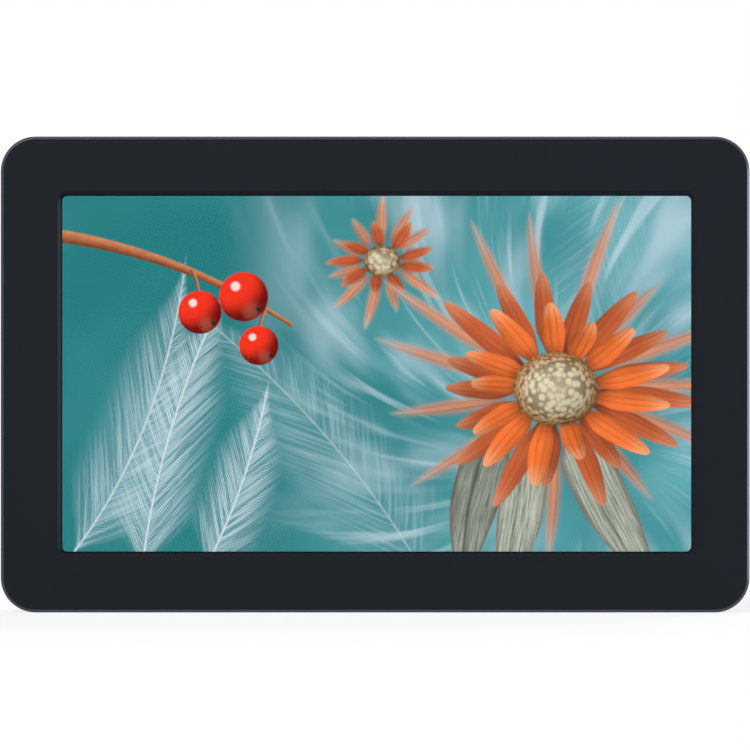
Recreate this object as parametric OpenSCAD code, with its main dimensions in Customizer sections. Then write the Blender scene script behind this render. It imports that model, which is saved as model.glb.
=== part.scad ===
// Camera field monitor, 5.5 inch class, with a slide-on battery plate on its back.
//
// The monitor stands on its bottom edge. +Z is up, the screen faces -Y, and the
// origin is at the middle of the bottom, half way through the depth.
// Every module is drawn lying on its back, with x to the viewer's right, y up the
// screen and z towards the viewer, and upright() stands it up. Names that end in
// _z are heights in that lying frame: the front face is at +body_d / 2.

/* [Body] */
// Width across the mid frame
body_w = 146; // [146:0.5:154]
// Height of the mid frame, which is made of four mitred rails
body_h = 92.8; // [92:0.2:100]
// Depth from the front face to the ends of the battery hooks
body_d = 20; // [20:0.1:21]
// Radius of the four body corners, seen from the front
corner_r = 6.8; // [6.5:0.1:7]
// Wall thickness of the mid frame
frame_wall = 2.0; // [1.8:0.1:2.2]
// Width of the bright bevel round the front edge
edge_bevel = 0.45; // [0.3:0.05:0.5]
// Depth of the flat side band
band_d = 15; // [14.6:0.1:15.2]
// Wall thickness of the rear cover
cover_wall = 1.6; // [1.4:0.1:1.8]
// How far the rear cover's shoulder runs in
shoulder_w = 5; // [4:0.1:5.4]

/* [Screen] */
// Width of the clear opening in the bezel
window_w = 123.1; // [122:0.1:123.5]
// Height of the clear opening in the bezel
window_h = 69.8; // [69:0.1:70.2]
// How far the opening sits to the viewer's right of the middle
window_dx = 0.3; // [0:0.05:0.4]
// How far the opening sits above the middle
window_dy = 0.15; // [0:0.05:0.3]
// Width and depth of the bevel round the opening
window_bevel = 0.7; // [0.5:0.05:0.85]
// Corner radius of the clear opening
window_r = 1.0; // [0.8:0.1:1.4]
// Thickness of the touch glass
glass_t = 1.0; // [0.7:0.1:1.0]

/* [Controls and sockets] */
// Power button's place along the top, from the middle
button_x = 52; // [46:1:53]
// How far the power button travels
button_travel = 0.35; // [0.2:0.05:0.4]
// Headphone socket's height above the middle of the left side
headphone_y = 17; // [14:1:20]
// Video input's height above the middle of the left side
video_y = 2; // [1:0.5:3]
// Data port's height above the middle of the left side
data_y = -13; // [-16:0.5:-13]
// Power outlet's height above the middle of the right side
outlet_y = 17; // [12:1:20]

/* [Battery plate] */
// Width of the battery plate
plate_w = 42.4; // [42:0.1:43]
// Height of the battery plate
plate_h = 79.6; // [79:0.1:79.8]
// Inside width between the two side rails
rail_gap = 38.8; // [38.4:0.1:39]
// How far each hook reaches in over the battery
hook_reach = 1.5; // [1:0.1:1.8]
// How far the battery catch sinks when it is pressed
latch_travel = 2.4; // [1.5:0.1:2.4]

/* [Mounting threads] */
// Radius of the tapped hole, at the thread's crests, for a 1/4 inch 20 screw
thread_r = 2.6; // [2.5:0.05:2.7]
// Length of each threaded insert
insert_len = 7; // [6:0.5:7]

/* [Hidden] */
$fn = 48;

// Levels through the depth, front to back
front_z = body_d / 2;
back_z = -body_d / 2;
bezel_t = 1.4;
shelf_z = front_z - bezel_t;         // the bezel's back, on the mid frame's shelf
band_z = front_z - band_d;           // where the mid frame ends and the rear cover starts
cover_z = back_z + 2;                // the rear cover's flat back
pane_z = front_z - 0.95;             // the touch glass's front face
gasket_z = pane_z - glass_t;         // the touch glass's back face
gasket_t = 0.3;
cell_z = gasket_z - gasket_t;        // the display cell's front face
cell_t = 1.45;
tray_z = cell_z - cell_t;            // the backlight tray's rim
tray_d = 2.1;
spreader_z = tray_z - tray_d;        // the heat spreader's front face
spreader_t = 1.0;
board_gap = 1.0;                     // height of the heat spreader's standoffs
board_z = spreader_z - spreader_t - board_gap; // the main board's front face
board_t = 1.2;
board_back_z = board_z - board_t;
boss_end_z = -2;                     // where the bezel's bosses meet the cover's
band_mid_z = (front_z + band_z) / 2; // middle of the flat side band
plate_face_z = back_z + 4.3;         // the face that a battery lies on
plate_t = 1.6;
pocket_z = plate_face_z + plate_t;   // floor of the rear cover's pocket
floor_z = pocket_z + cover_wall;     // the inner side of that floor

fit_gap = 0.02;                      // radial gap of a pressed or threaded fit
slip_gap = 0.1;                      // gap all round a piece that drops in
half_w = body_w / 2;
half_h = body_h / 2;

// Bezel
bezel_inset = edge_bevel + 0.1;      // how far the mid frame's lip reaches in
glass_w = window_w + 3.2;
glass_h = window_h + 3.1;
glass_r = 1.6;
rib_t = 1.5;                         // rib that locates the glass and the display
rib_end_z = shelf_z - 1.6;
touch_notch_x = -40;
touch_notch_w = 12;

// Screws that clamp the rear cover, the mid frame and the bezel together
screw_corner = [half_w - 7.5, half_h - 7.4];
screw_mid = [30, half_h - 5.6];
housing_screw_at = [
    for (sx = [-1, 1], sy = [-1, 1], p = [screw_corner, screw_mid]) [sx * p.x, sy * p.y]
];
boss_r = 2.2;
screw_r = 0.98;
pilot_r = screw_r + fit_gap;
screw_head_r = 1.85;
screw_head_t = 1.2;
screw_seat_z = cover_z + 1.6;
screw_tip_z = screw_seat_z + 10.4;

// Heat spreader and main board
spreader_w = 139;
spreader_h = 74;
spreader_screw_at = [for (sx = [-1, 1], sy = [-1, 1]) [sx * 67, sy * 31]];
lug_d = 2.5;
board_w = 134;
board_h = 54;
board_screw_at = [for (sx = [-1, 1], sy = [-1, 1]) [sx * 58, sy * 22]];
small_screw_r = 0.78;
small_pilot_r = small_screw_r + fit_gap;
small_head_r = 1.5;
small_head_t = 0.8;
insert_notch_w = 14;
insert_notch_reach = 63.5;
processor_size = [15, 15, 0.7];
processor_at = [-6, 3];

// Sockets: each mouth is flush with the mid frame's outside
socket_recess = 0.7;
nose_inset = 0.2;
headphone_r = 1.8;
headphone_nose_r = 2.8;
headphone_z = board_back_z - 2.5;
headphone_len = 12.8;
video_size = [7.5, 11.2, 3.2];       // length, width and height of the shell
video_cut = 1.1;
data_size = [7, 9, 3.2];
shell_t = 0.35;
outlet_r = 2.2;
outlet_nose_r = 2.9;
outlet_pin_r = 0.65;
outlet_len = 11;

// Power button, its switch and its light
button_w = 8.7;
button_t = 3.3;
button_slot_gap = 0.12;
button_top_y = half_h - 0.15;
flange_y = half_h - frame_wall - slip_gap;
flange_t = 0.8;
switch_board_y = half_h - 6.4;       // the switch board's upper face
switch_board_t = 1.0;
switch_h = 2.1;
plunger_r = 0.8;
light_x = button_x + 6.4;
light_r = 0.75;
post_x = [button_x - 7, button_x + 9];
post_r = 1.3;
stake_r = 0.6;

// Mounting inserts
insert_r = 4.48;
insert_seat_r = insert_r + fit_gap;
insert_boss_r = 5.8;
insert_floor = 0.6;                  // closes the thread's inner end

// Battery plate
plate_y = -0.4;                      // the plate's middle
plate_r = 2;
rail_t = (plate_w - rail_gap) / 2;
hook_t = 1.3;
hook_len = 9;
hook_at = [-24, 0, 22];
block_h = 3.2;                       // the contact block, across the plate's lower end
block_w = 26;
plate_low_y = plate_y - plate_h / 2;
blade = [1.0, 7, 2.4];               // width, length and height of a contact blade
blade_x = 6.2;
blade_z = plate_face_z - 0.9;        // top of the blades, towards the plate
foot_y = plate_low_y + 0.8;          // lower end of the blades
tail_y = foot_y + 0.6;
tail_h = 1.2;
tail_end_z = floor_z + 1.6;
latch_y = 33.2;                      // middle of the catch's window
latch_window = [12, 9];
latch_flange = [14, 10];
latch_flange_t = 0.8;
well_gap = 0.2;
well_wall = 0.9;
well_floor_z = pocket_z + latch_flange_t + latch_travel + 0.3;
spring_r = 2.1;
spring_wire = 0.4;
spring_turns = 4;
cup_r = spring_r + spring_wire / 2 + 0.35;
cup_floor_z = pocket_z + latch_flange_t + latch_travel + (spring_turns + 0.5) * spring_wire;
cup_wall = 1.2;
vent_at = [for (i = [0:6]) 29 + 4.6 * i];
vent_size = [1.6, 22];
plate_screw_at = [for (sx = [-1, 1], y = [-27, 20]) [sx * 13, y]];

// ---------------------------------------------------------------- helpers

// Stands a piece up from the lying frame
module upright() {
    translate([0, 0, half_h]) rotate([90, 0, 0]) children();
}

module rounded_rect(w, h, r) {
    square([w - 2 * r, h], center = true);
    square([w, h - 2 * r], center = true);
    for (sx = [-1, 1], sy = [-1, 1])
        translate([sx * (w / 2 - r), sy * (h / 2 - r)]) circle(r);
}

// A flat plate with round corners, from z0 up to z1
module slab(w, h, r, z0, z1) {
    translate([0, 0, z0]) linear_extrude(z1 - z0) rounded_rect(w, h, r);
}

// Carries a profile round a rectangle with round corners. The profile's x is
// counted outwards from the corner's centre, and its y is the height.
module sweep_round(w, h, r) {
    for (k = [0:3]) {
        a = (k % 2 == 0 ? w : h) / 2 - r;
        b = (k % 2 == 0 ? h : w) / 2 - r;
        rotate(90 * k) translate([a, b, 0]) {
            rotate_extrude(angle = 90) children();
            rotate([90, 0, 0]) linear_extrude(2 * b) children();
        }
    }
}

// A solid plate whose edge follows a profile that starts at the corner's centre
module edged_slab(w, h, r, z0, z1) {
    sweep_round(w, h, r) children();
    translate([0, 0, (z0 + z1) / 2]) cube([w - 2 * r, h - 2 * r, z1 - z0], center = true);
}

module rod(r, z0, z1) {
    translate([0, 0, z0]) cylinder(r = r, h = z1 - z0);
}

module block(w, h, z0, z1) {
    translate([0, 0, (z0 + z1) / 2]) cube([w, h, z1 - z0], center = true);
}

module at(points) {
    for (p = points) translate([p.x, p.y, 0]) children();
}

// A cross-recessed screw: its head's top is at z0 and its tip at z1, in either order
module screw(head_r, head_t, shank_r, z0, z1) {
    down = z1 < z0 ? 1 : -1;
    slot = head_r * 1.1;
    translate([0, 0, z0]) mirror([0, 0, down > 0 ? 1 : 0]) difference() {
        union() {
            cylinder(r = head_r, h = head_t);
            cylinder(r = shank_r, h = abs(z1 - z0) - shank_r);
            translate([0, 0, abs(z1 - z0) - shank_r])
                cylinder(r1 = shank_r, r2 = shank_r * 0.4, h = shank_r);
        }
        for (a = [0, 90]) rotate(a) translate([0, 0, head_t * 0.25])
            cube([slot, head_r * 0.26, head_t * 0.5 + 0.01], center = true);
    }
}

// A stadium-shaped rod that stands along y, as a button and its slot do
module stadium_y(w, t, y0, y1) {
    translate([0, y1, 0]) rotate([90, 0, 0]) linear_extrude(y1 - y0) {
        square([w - t, t], center = true);
        for (s = [-1, 1]) translate([s * (w - t) / 2, 0]) circle(t / 2);
    }
}

// Points of the rings along a tube, and the tube itself, as one closed surface
function unit(v) = v / norm(v);
function ring_at(p, dir, r, n) =
    let (side = unit(cross(dir, abs(dir.z) > 0.9 ? [1, 0, 0] : [0, 0, 1])),
         up = cross(side, dir))
    [for (i = [0:n - 1]) p + r * (cos(360 * i / n) * side + sin(360 * i / n) * up)];

module tube(path, r, n = 8) {
    m = len(path);
    dirs = [for (i = [0:m - 1]) unit(path[min(i + 1, m - 1)] - path[max(i - 1, 0)])];
    points = [for (i = [0:m - 1]) each ring_at(path[i], dirs[i], r, n)];
    sides = [
        for (i = [0:m - 2], j = [0:n - 1])
            let (a = i * n + j, b = i * n + (j + 1) % n)
            each [[a, b, b + n], [a, b + n, a + n]]
    ];
    polyhedron(
        points,
        concat(sides, [[for (j = [n - 1:-1:0]) j]], [[for (j = [0:n - 1]) (m - 1) * n + j]])
    );
}

// A thin strip bent along a path of [y, z] points, w wide across x
module strip(path, w, t) {
    m = len(path);
    dirs = [for (i = [0:m - 1]) unit(path[min(i + 1, m - 1)] - path[max(i - 1, 0)])];
    edge = [for (i = [0:m - 1]) path[i] + t / 2 * [-dirs[i].y, dirs[i].x]];
    other = [for (i = [m - 1:-1:0]) path[i] - t / 2 * [-dirs[i].y, dirs[i].x]];
    translate([-w / 2, 0, 0]) rotate([90, 0, 90]) linear_extrude(w) polygon(concat(edge, other));
}

// A quarter turn from angle a to b about c, for a bent strip
function bend(c, r, a, b, n = 6) =
    [for (i = [0:n]) let (t = a + (b - a) * i / n) c + r * [cos(t), sin(t)]];

// ---------------------------------------------------------------- housing

module frame_profile() {
    inner = corner_r - frame_wall;
    lip = corner_r - bezel_inset;
    polygon([
        [inner, band_z], [corner_r, band_z], [corner_r, front_z - edge_bevel],
        [corner_r - edge_bevel, front_z], [lip, front_z], [lip, shelf_z], [inner, shelf_z]
    ]);
}

// Turns a child that stands along +y so that it stands along the side at angle a
module along_edge(a, offset) {
    rotate(a) translate([0, offset, 0]) children();
}

// A round boss with a flat that clears the rear cover's pocket
module insert_boss(a, edge) {
    len = insert_len - frame_wall / 2;
    along_edge(a, edge - insert_len) intersection() {
        translate([0, 0, band_mid_z]) rotate([-90, 0, 0]) cylinder(r = insert_boss_r, h = len);
        translate([-insert_boss_r, -1, floor_z + 0.2]) cube([2 * insert_boss_r, len + 2, band_d]);
    }
}

module insert_seat(a, edge) {
    along_edge(a, edge - insert_len - 1) translate([0, 0, band_mid_z]) rotate([-90, 0, 0])
        cylinder(r = insert_seat_r, h = insert_len + 2);
}

// Carries an outline along x from x0. The outline's own x runs up the body's side.
module along_x(x0, y, z, len) {
    translate([x0, y, z]) rotate([90, 0, 90]) linear_extrude(len) children();
}

// A socket shell's outline, grown all round. It has two cut corners, or round ends
// where cut is 0.
module shell_outline(size, cut, grow) {
    w = size.y + 2 * grow;
    h = size.z + 2 * grow;
    if (cut > 0) polygon([
        [-w / 2, h / 2], [-w / 2, cut - h / 2], [cut - w / 2, -h / 2],
        [w / 2 - cut, -h / 2], [w / 2, cut - h / 2], [w / 2, h / 2]
    ]);
    else rounded_rect(w, h, h / 2 - 0.01);
}

// A recess and an opening in the left wall, for a shell that hangs on the main board
module socket_opening(y, size, cut) {
    z = board_back_z - size.z / 2;
    along_x(-half_w - 1, y, z, 4) shell_outline(size, cut, 0.1);
    along_x(-half_w - 1, y, z, 1 + socket_recess) rounded_rect(size.y + 3.4, size.z + 2.2, 1.2);
}

module round_opening(side, y, z, r) {
    translate([side * (half_w - 4), y, z]) rotate([0, side * 90, 0]) cylinder(r = r, h = 6);
}

module spreader_lug(p) {
    side = sign(p.x);
    difference() {
        translate([side * (half_w - frame_wall / 2 + 64) / 2, p.y, spreader_z - spreader_t - lug_d / 2])
            cube([half_w - frame_wall / 2 - 64, 6, lug_d], center = true);
        translate([p.x, p.y, 0]) rod(small_pilot_r, spreader_z - spreader_t - lug_d - 1, spreader_z);
    }
}

// One rail of the mid frame, mitred through the middle of its corners. It lies along
// the side at angle a: 0 is the top, 90 the left.
module bare_rail(a) {
    across = a % 180 == 0;
    end = (across ? half_w : half_h) + 1;
    edge = (across ? half_h : half_w) + 1;
    mitre = corner_r + 4;
    intersection() {
        sweep_round(body_w, body_h, corner_r) frame_profile();
        rotate(a) translate([0, 0, band_z - 1]) linear_extrude(band_d + 2) polygon([
            [-end, edge], [end, edge], [end - mitre, edge - mitre], [mitre - end, edge - mitre]
        ]);
    }
}

// A rail with the boss and the seat for its threaded insert
module tapped_rail(a, edge) {
    difference() {
        union() {
            bare_rail(a);
            insert_boss(a, edge);
        }
        insert_seat(a, edge);
    }
}

module top_rail() {
    color("#4a4e55") upright() {
        difference() {
            tapped_rail(0, half_h);
            translate([button_x, 0, band_mid_z]) {
                stadium_y(button_w + 2 * button_slot_gap, button_t + 2 * button_slot_gap,
                          half_h - frame_wall - 1, half_h + 1);
            }
            translate([light_x, half_h - frame_wall - 1, band_mid_z]) rotate([-90, 0, 0])
                cylinder(r = light_r + fit_gap, h = frame_wall + 2);
        }
        for (x = post_x) translate([x, 0, band_mid_z]) rotate([90, 0, 0]) {
            translate([0, 0, -(half_h - frame_wall / 2)])
                cylinder(r = post_r, h = half_h - frame_wall / 2 - switch_board_y);
            translate([0, 0, -switch_board_y])
                cylinder(r = stake_r, h = switch_board_t + 0.6);
        }
    }
}

module bottom_rail() {
    color("#4a4e55") upright() tapped_rail(180, half_h);
}

module left_rail() {
    color("#4a4e55") upright() {
        difference() {
            bare_rail(90);
            round_opening(-1, headphone_y, headphone_z, headphone_nose_r + fit_gap);
            socket_opening(video_y, video_size, video_cut);
            socket_opening(data_y, data_size, 0);
        }
        for (p = spreader_screw_at) if (p.x < 0) spreader_lug(p);
    }
}

module right_rail() {
    color("#4a4e55") upright() {
        difference() {
            tapped_rail(-90, half_w);
            round_opening(1, outlet_y, headphone_z, outlet_nose_r + fit_gap);
        }
        for (p = spreader_screw_at) if (p.x > 0) spreader_lug(p);
    }
}

// The flared opening that the picture shows through
module window_cut() {
    top = front_z + 0.2;
    flare = window_bevel + 0.2;
    translate([window_dx, window_dy, 0]) {
        slab(window_w, window_h, window_r, shelf_z - 1, front_z + 1);
        edged_slab(window_w, window_h, window_r, front_z - window_bevel, top) polygon([
            [0, front_z - window_bevel], [window_r, front_z - window_bevel],
            [window_r + flare, top], [0, top]
        ]);
    }
}

module front_bezel() {
    w = body_w - 2 * (bezel_inset + 0.06);
    h = body_h - 2 * (bezel_inset + 0.06);
    r = corner_r - bezel_inset - 0.06;
    rib_w = glass_w + 2 * (slip_gap + rib_t);
    rib_h = glass_h + 2 * (slip_gap + rib_t);
    color("#24272b") upright() difference() {
        union() {
            slab(w, h, r, shelf_z, front_z);
            translate([window_dx, window_dy, 0]) slab(rib_w, rib_h, glass_r + rib_t, rib_end_z, shelf_z);
            at(housing_screw_at) rod(boss_r, boss_end_z, shelf_z);
        }
        window_cut();
        translate([window_dx, window_dy, 0])
            slab(glass_w + 2 * slip_gap, glass_h + 2 * slip_gap, glass_r + slip_gap, rib_end_z - 1, pane_z);
        translate([touch_notch_x, window_dy - rib_h / 2, (rib_end_z + shelf_z) / 2])
            cube([touch_notch_w, 2 * rib_t, shelf_z - rib_end_z], center = true);
        at(housing_screw_at) rod(pilot_r, boss_end_z - 1, screw_tip_z + 0.8);
    }
}

module cover_profile(inset, floor) {
    steps = 10;
    run = shoulder_w;
    rise = band_z - cover_z;
    polygon(concat(
        [[0, band_z], [corner_r - 0.2 - inset, band_z]],
        [for (i = [1:steps])
            let (a = 90 * i / steps)
            [corner_r - 0.2 - inset - run * (1 - cos(a)), band_z - (rise - floor) * sin(a)]],
        [[0, cover_z + floor]]
    ));
}

module rear_cover() {
    tongue_r = corner_r - frame_wall - slip_gap;
    tongue_t = 1.2;
    tongue_h = 0.9;
    pocket_w = plate_w + 2 * slip_gap;
    pocket_h = plate_h + 2 * slip_gap;
    well = [latch_flange.x + 2 * well_gap, latch_flange.y + 2 * well_gap];
    color("#2b2e33") upright() difference() {
        union() {
            difference() {
                edged_slab(body_w, body_h, corner_r, cover_z, band_z) cover_profile(0, 0);
                edged_slab(body_w, body_h, corner_r, cover_z + cover_wall, band_z)
                    cover_profile(cover_wall, cover_wall);
            }
            sweep_round(body_w, body_h, corner_r) polygon([
                [tongue_r - tongue_t, band_z - 1], [tongue_r, band_z - 1],
                [tongue_r, band_z + tongue_h], [tongue_r - tongue_t, band_z + tongue_h]
            ]);
            translate([0, plate_y, 0])
                slab(pocket_w + 2 * cover_wall, pocket_h + 2 * cover_wall, plate_r + cover_wall,
                     cover_z, floor_z);
            translate([0, latch_y, 0])
                slab(well.x + 2 * well_wall, well.y + 2 * well_wall, well_wall,
                     pocket_z, well_floor_z + cover_wall);
            translate([0, latch_y, 0]) rod(cup_r + cup_wall, well_floor_z, cup_floor_z + cup_wall);
            at(housing_screw_at) rod(boss_r + 0.7, cover_z + 0.5, boss_end_z);
        }
        translate([0, plate_y, 0]) slab(pocket_w, pocket_h, plate_r + slip_gap, back_z - 1, pocket_z);
        translate([0, latch_y, 0]) {
            block(well.x, well.y, back_z, well_floor_z);
            rod(cup_r, back_z, cup_floor_z);
        }
        for (sx = [-1, 1]) {
            translate([sx * blade_x, tail_y, 0]) block(blade.x, tail_h, back_z, floor_z + 1);
            for (x = vent_at, y = [-19, 19]) translate([sx * x, y, 0])
                slab(vent_size.x, vent_size.y, vent_size.x / 2 - 0.01, cover_z - 1, floor_z);
        }
        at(plate_screw_at) rod(small_pilot_r, back_z, floor_z + 1);
        at(housing_screw_at) {
            rod(pilot_r + 0.15, cover_z - 1, boss_end_z + 1);
            rod(screw_head_r + 0.2, cover_z - 1, screw_seat_z);
        }
    }
}

module housing_screws() {
    color("#1c1d20") upright() at(housing_screw_at)
        screw(screw_head_r, screw_head_t, screw_r, screw_seat_z - screw_head_t, screw_tip_z);
}

// A blind threaded insert whose mouth is flush with the side band
module threaded_insert(a, edge) {
    color("#b9b4a6") upright() along_edge(a, edge - insert_len) translate([0, 0, band_mid_z])
        rotate([-90, 0, 0]) difference() {
            union() {
                cylinder(r = insert_r, h = insert_len - 0.3);
                translate([0, 0, insert_len - 0.3]) cylinder(r1 = insert_r, r2 = insert_r - 0.3, h = 0.3);
            }
            translate([0, 0, insert_floor]) cylinder(r = thread_r, h = insert_len);
            translate([0, 0, insert_len - 0.6]) cylinder(r1 = thread_r, r2 = thread_r + 0.7, h = 0.7);
        }
}

module bottom_insert() threaded_insert(180, half_h);

module top_insert() threaded_insert(0, half_h);

module side_insert() threaded_insert(-90, half_w);

// ---------------------------------------------------------------- display

module touch_glass() {
    color("#9fb4bd", 0.4) upright() translate([window_dx, window_dy, 0])
        slab(glass_w, glass_h, glass_r, gasket_z, pane_z);
}

module glass_gasket() {
    color("#0c0c0d") upright() translate([window_dx, window_dy, 0]) difference() {
        slab(glass_w - 0.4, glass_h - 0.4, glass_r, cell_z, gasket_z);
        slab(window_w - 0.35, window_h - 0.4, window_r, cell_z - 1, gasket_z + 1);
    }
}

module lcd_cell() {
    color("#2f7f7a") upright() translate([window_dx, window_dy, 0])
        slab(glass_w - 0.4, glass_h - 0.4, 1.2, tray_z, cell_z);
}

tray_wall = 0.5;
tray_w = glass_w;
tray_h = glass_h;
tray_floor_z = tray_z - tray_d + 0.4;
diffuser_t = 0.2;
strip_space = 2.2;                   // room at the tray's lower side for the lamps

module backlight_tray() {
    color("#c9cdd0") upright() translate([window_dx, window_dy, 0]) difference() {
        slab(tray_w, tray_h, 0.8, spreader_z, tray_z);
        block(tray_w - 2 * tray_wall, tray_h - 2 * tray_wall, tray_floor_z, tray_z + 1);
    }
}

module light_guide() {
    h = tray_h - 2 * tray_wall - strip_space;
    color("#e6eef0", 0.7) upright() translate([window_dx, window_dy + strip_space / 2, 0])
        block(tray_w - 2 * tray_wall - 0.2, h - 0.1, tray_floor_z, tray_z - diffuser_t);
}

module diffuser_sheet() {
    h = tray_h - 2 * tray_wall - strip_space;
    color("#f4f4f2") upright() translate([window_dx, window_dy + strip_space / 2, 0])
        block(tray_w - 2 * tray_wall - 0.2, h - 0.1, tray_z - diffuser_t, tray_z);
}

module led_strip() {
    lamps = 20;
    pitch = (tray_w - 10) / lamps;
    low = window_dy - tray_h / 2 + tray_wall;
    color("#e9d27a") upright() {
        translate([window_dx, low + 0.2, (tray_floor_z + tray_z) / 2])
            cube([tray_w - 3, 0.4, tray_z - tray_floor_z - 0.3], center = true);
        for (i = [0:lamps - 1])
            translate([window_dx + (i - (lamps - 1) / 2) * pitch, low + 0.8, (tray_floor_z + tray_z) / 2])
                cube([3, 0.8, 1.0], center = true);
    }
}

// ---------------------------------------------------------------- electronics

module insert_notch(z0, z1) {
    translate([insert_notch_reach + 10, 0, 0]) block(20, insert_notch_w, z0, z1);
}

module heat_spreader() {
    back = spreader_z - spreader_t;
    color("#a9adb0") upright() difference() {
        union() {
            slab(spreader_w, spreader_h, 3, back, spreader_z);
            at(board_screw_at) rod(2.6, board_z, back);
        }
        at(board_screw_at) rod(small_pilot_r, board_z - 1, spreader_z + 1);
        at(spreader_screw_at) rod(small_screw_r + 0.1, back - 1, spreader_z + 1);
        at([for (p = housing_screw_at) if (abs(p.x) > 50) p]) rod(boss_r + 0.5, back - 1, spreader_z + 1);
        insert_notch(back - 1, spreader_z + 1);
        for (y = [-30, 30]) translate([0, y, 0]) slab(44, 4, 1.9, back - 1, spreader_z + 1);
    }
}

module spreader_screws() {
    color("#8b8d90") upright() at(spreader_screw_at)
        screw(small_head_r, small_head_t, small_screw_r, spreader_z + small_head_t,
              spreader_z - spreader_t - lug_d + 0.3);
}

module main_board() {
    color("#1f5a3c") upright() difference() {
        slab(board_w, board_h, 1.5, board_back_z, board_z);
        at(board_screw_at) rod(small_screw_r + 0.1, board_back_z - 1, board_z + 1);
        insert_notch(board_back_z - 1, board_z + 1);
    }
}

module board_screws() {
    color("#8b8d90") upright() at(board_screw_at)
        screw(small_head_r, small_head_t, small_screw_r, board_back_z - small_head_t, spreader_z - 0.4);
}

module processor_chip() {
    color("#17181a") upright() translate([processor_at.x, processor_at.y, 0])
        block(processor_size.x, processor_size.y, board_z, board_z + processor_size.z);
}

module thermal_pad() {
    color("#8a93a6") upright() translate([processor_at.x, processor_at.y, 0])
        block(processor_size.x - 1, processor_size.y - 1,
              board_z + processor_size.z, spreader_z - spreader_t);
}

module memory_chips() {
    color("#202124") upright() for (y = [-7, 7]) translate([processor_at.x + 17, processor_at.y + y, 0])
        block(11, 9, board_z, board_z + 0.8);
}

// Coils, capacitors and small chips on the back of the main board
module board_components() {
    color("#3b3c40") upright() {
        for (i = [0:3]) translate([-42 + 9 * i, 16, 0]) block(5, 5, board_back_z - 2, board_back_z);
        for (i = [0:5]) translate([24 + 5 * i, 14, 0]) rod(1.9, board_back_z - 2.6, board_back_z);
        for (i = [0:4], j = [0:2]) translate([-30 + 4 * i, -6 + 3.2 * j, 0])
            block(1.6, 0.9, board_back_z - 0.7, board_back_z);
        for (x = [4, 20]) translate([x, -4, 0]) block(9, 9, board_back_z - 1, board_back_z);
        for (x = [-52, 44]) translate([x, 0, 0]) block(7, 10, board_back_z - 1.2, board_back_z);
    }
}

ribbon_t = 0.2;
display_ribbon_x = 8;
display_ribbon_w = 24;
connector_y = -board_h / 2 + 4;
lead_connector = [8, 4, 2];
lead_connector_y = -board_h / 2 + 3;
button_ribbon_w = 5;

module board_connectors() {
    color("#e4ddc8") upright() {
        for (c = [[display_ribbon_x, display_ribbon_w + 3], [touch_notch_x, touch_notch_w + 1]])
            translate([c[0], connector_y, 0]) difference() {
                block(c[1], 4, board_z, board_z + 0.9);
                translate([0, -1.2, 0]) block(c[1] - 3, 3, board_z + 0.3, board_z + 0.3 + ribbon_t + 0.1);
            }
        translate([0, lead_connector_y, 0])
            block(lead_connector.x, lead_connector.y, board_back_z - lead_connector.z, board_back_z);
    }
}

// The display's ribbon leaves the cell's lower edge, turns round the heat spreader
// and runs along the front of the main board into its connector
module edge_ribbon(x, w, start_y, start_z, turn_y) {
    r = 0.6;
    end_z = board_z + 0.3 + ribbon_t / 2 + 0.05;
    color("#c98a3a") upright() translate([x, 0, 0]) strip(concat(
        [[start_y, start_z]],
        bend([turn_y + r, start_z - r], r, 90, 180),
        bend([turn_y + r, end_z + r], r, 180, 270),
        [[connector_y - 0.2, end_z]]
    ), w, ribbon_t);
}

module display_ribbon() {
    edge_ribbon(display_ribbon_x, display_ribbon_w, window_dy - glass_h / 2 + 0.2, cell_z - cell_t + 0.5,
                -spreader_h / 2 - 0.5);
}

module touch_ribbon() {
    edge_ribbon(touch_notch_x, touch_notch_w - 2, window_dy - glass_h / 2, gasket_z + 0.3,
                window_dy - glass_h / 2 - rib_t - 0.6);
}

// ---------------------------------------------------------------- sockets

module headphone_socket() {
    nose_x = -half_w + nose_inset;
    body_x = -half_w + frame_wall + slip_gap;
    color("#111214") upright() difference() {
        union() {
            translate([body_x + headphone_len / 2, headphone_y, headphone_z])
                cube([headphone_len, 6.4, 5], center = true);
            translate([nose_x, headphone_y, headphone_z]) rotate([0, 90, 0])
                cylinder(r = headphone_nose_r, h = body_x - nose_x);
        }
        translate([nose_x - 1, headphone_y, headphone_z]) rotate([0, 90, 0])
            cylinder(r = headphone_r, h = headphone_len + 1);
    }
}

// A folded sheet-metal socket on the main board's back, with its contact tongue
module shell_socket(y, size, cut, tongue) {
    x0 = -half_w + socket_recess + 0.3;
    z = board_back_z - size.z / 2;
    difference() {
        along_x(x0, y, z, size.x) shell_outline(size, cut, 0);
        along_x(x0 - shell_t, y, z, size.x) shell_outline(size, cut, -shell_t);
    }
    translate([x0 + size.x / 2 + 0.4, y, z]) cube([size.x - 0.8, tongue, 0.7], center = true);
}

module video_socket() {
    color("#c3c6c8") upright() shell_socket(video_y, video_size, video_cut, 8.4);
}

module data_socket() {
    color("#c3c6c8") upright() shell_socket(data_y, data_size, 0, 6.6);
}

module power_outlet() {
    body_x = half_w - frame_wall - slip_gap;
    end_x = body_x - outlet_len + 1;
    color("#151618") upright() {
        difference() {
            union() {
                translate([body_x - outlet_len / 2, outlet_y, headphone_z])
                    cube([outlet_len, 7, 5], center = true);
                translate([body_x, outlet_y, headphone_z]) rotate([0, 90, 0])
                    cylinder(r = outlet_nose_r, h = half_w - nose_inset - body_x);
            }
            translate([end_x, outlet_y, headphone_z]) rotate([0, 90, 0])
                cylinder(r = outlet_r, h = outlet_len + 5);
        }
        translate([end_x - 0.5, outlet_y, headphone_z]) rotate([0, 90, 0])
            cylinder(r = outlet_pin_r, h = outlet_len);
    }
}

// ---------------------------------------------------------------- power button

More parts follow.
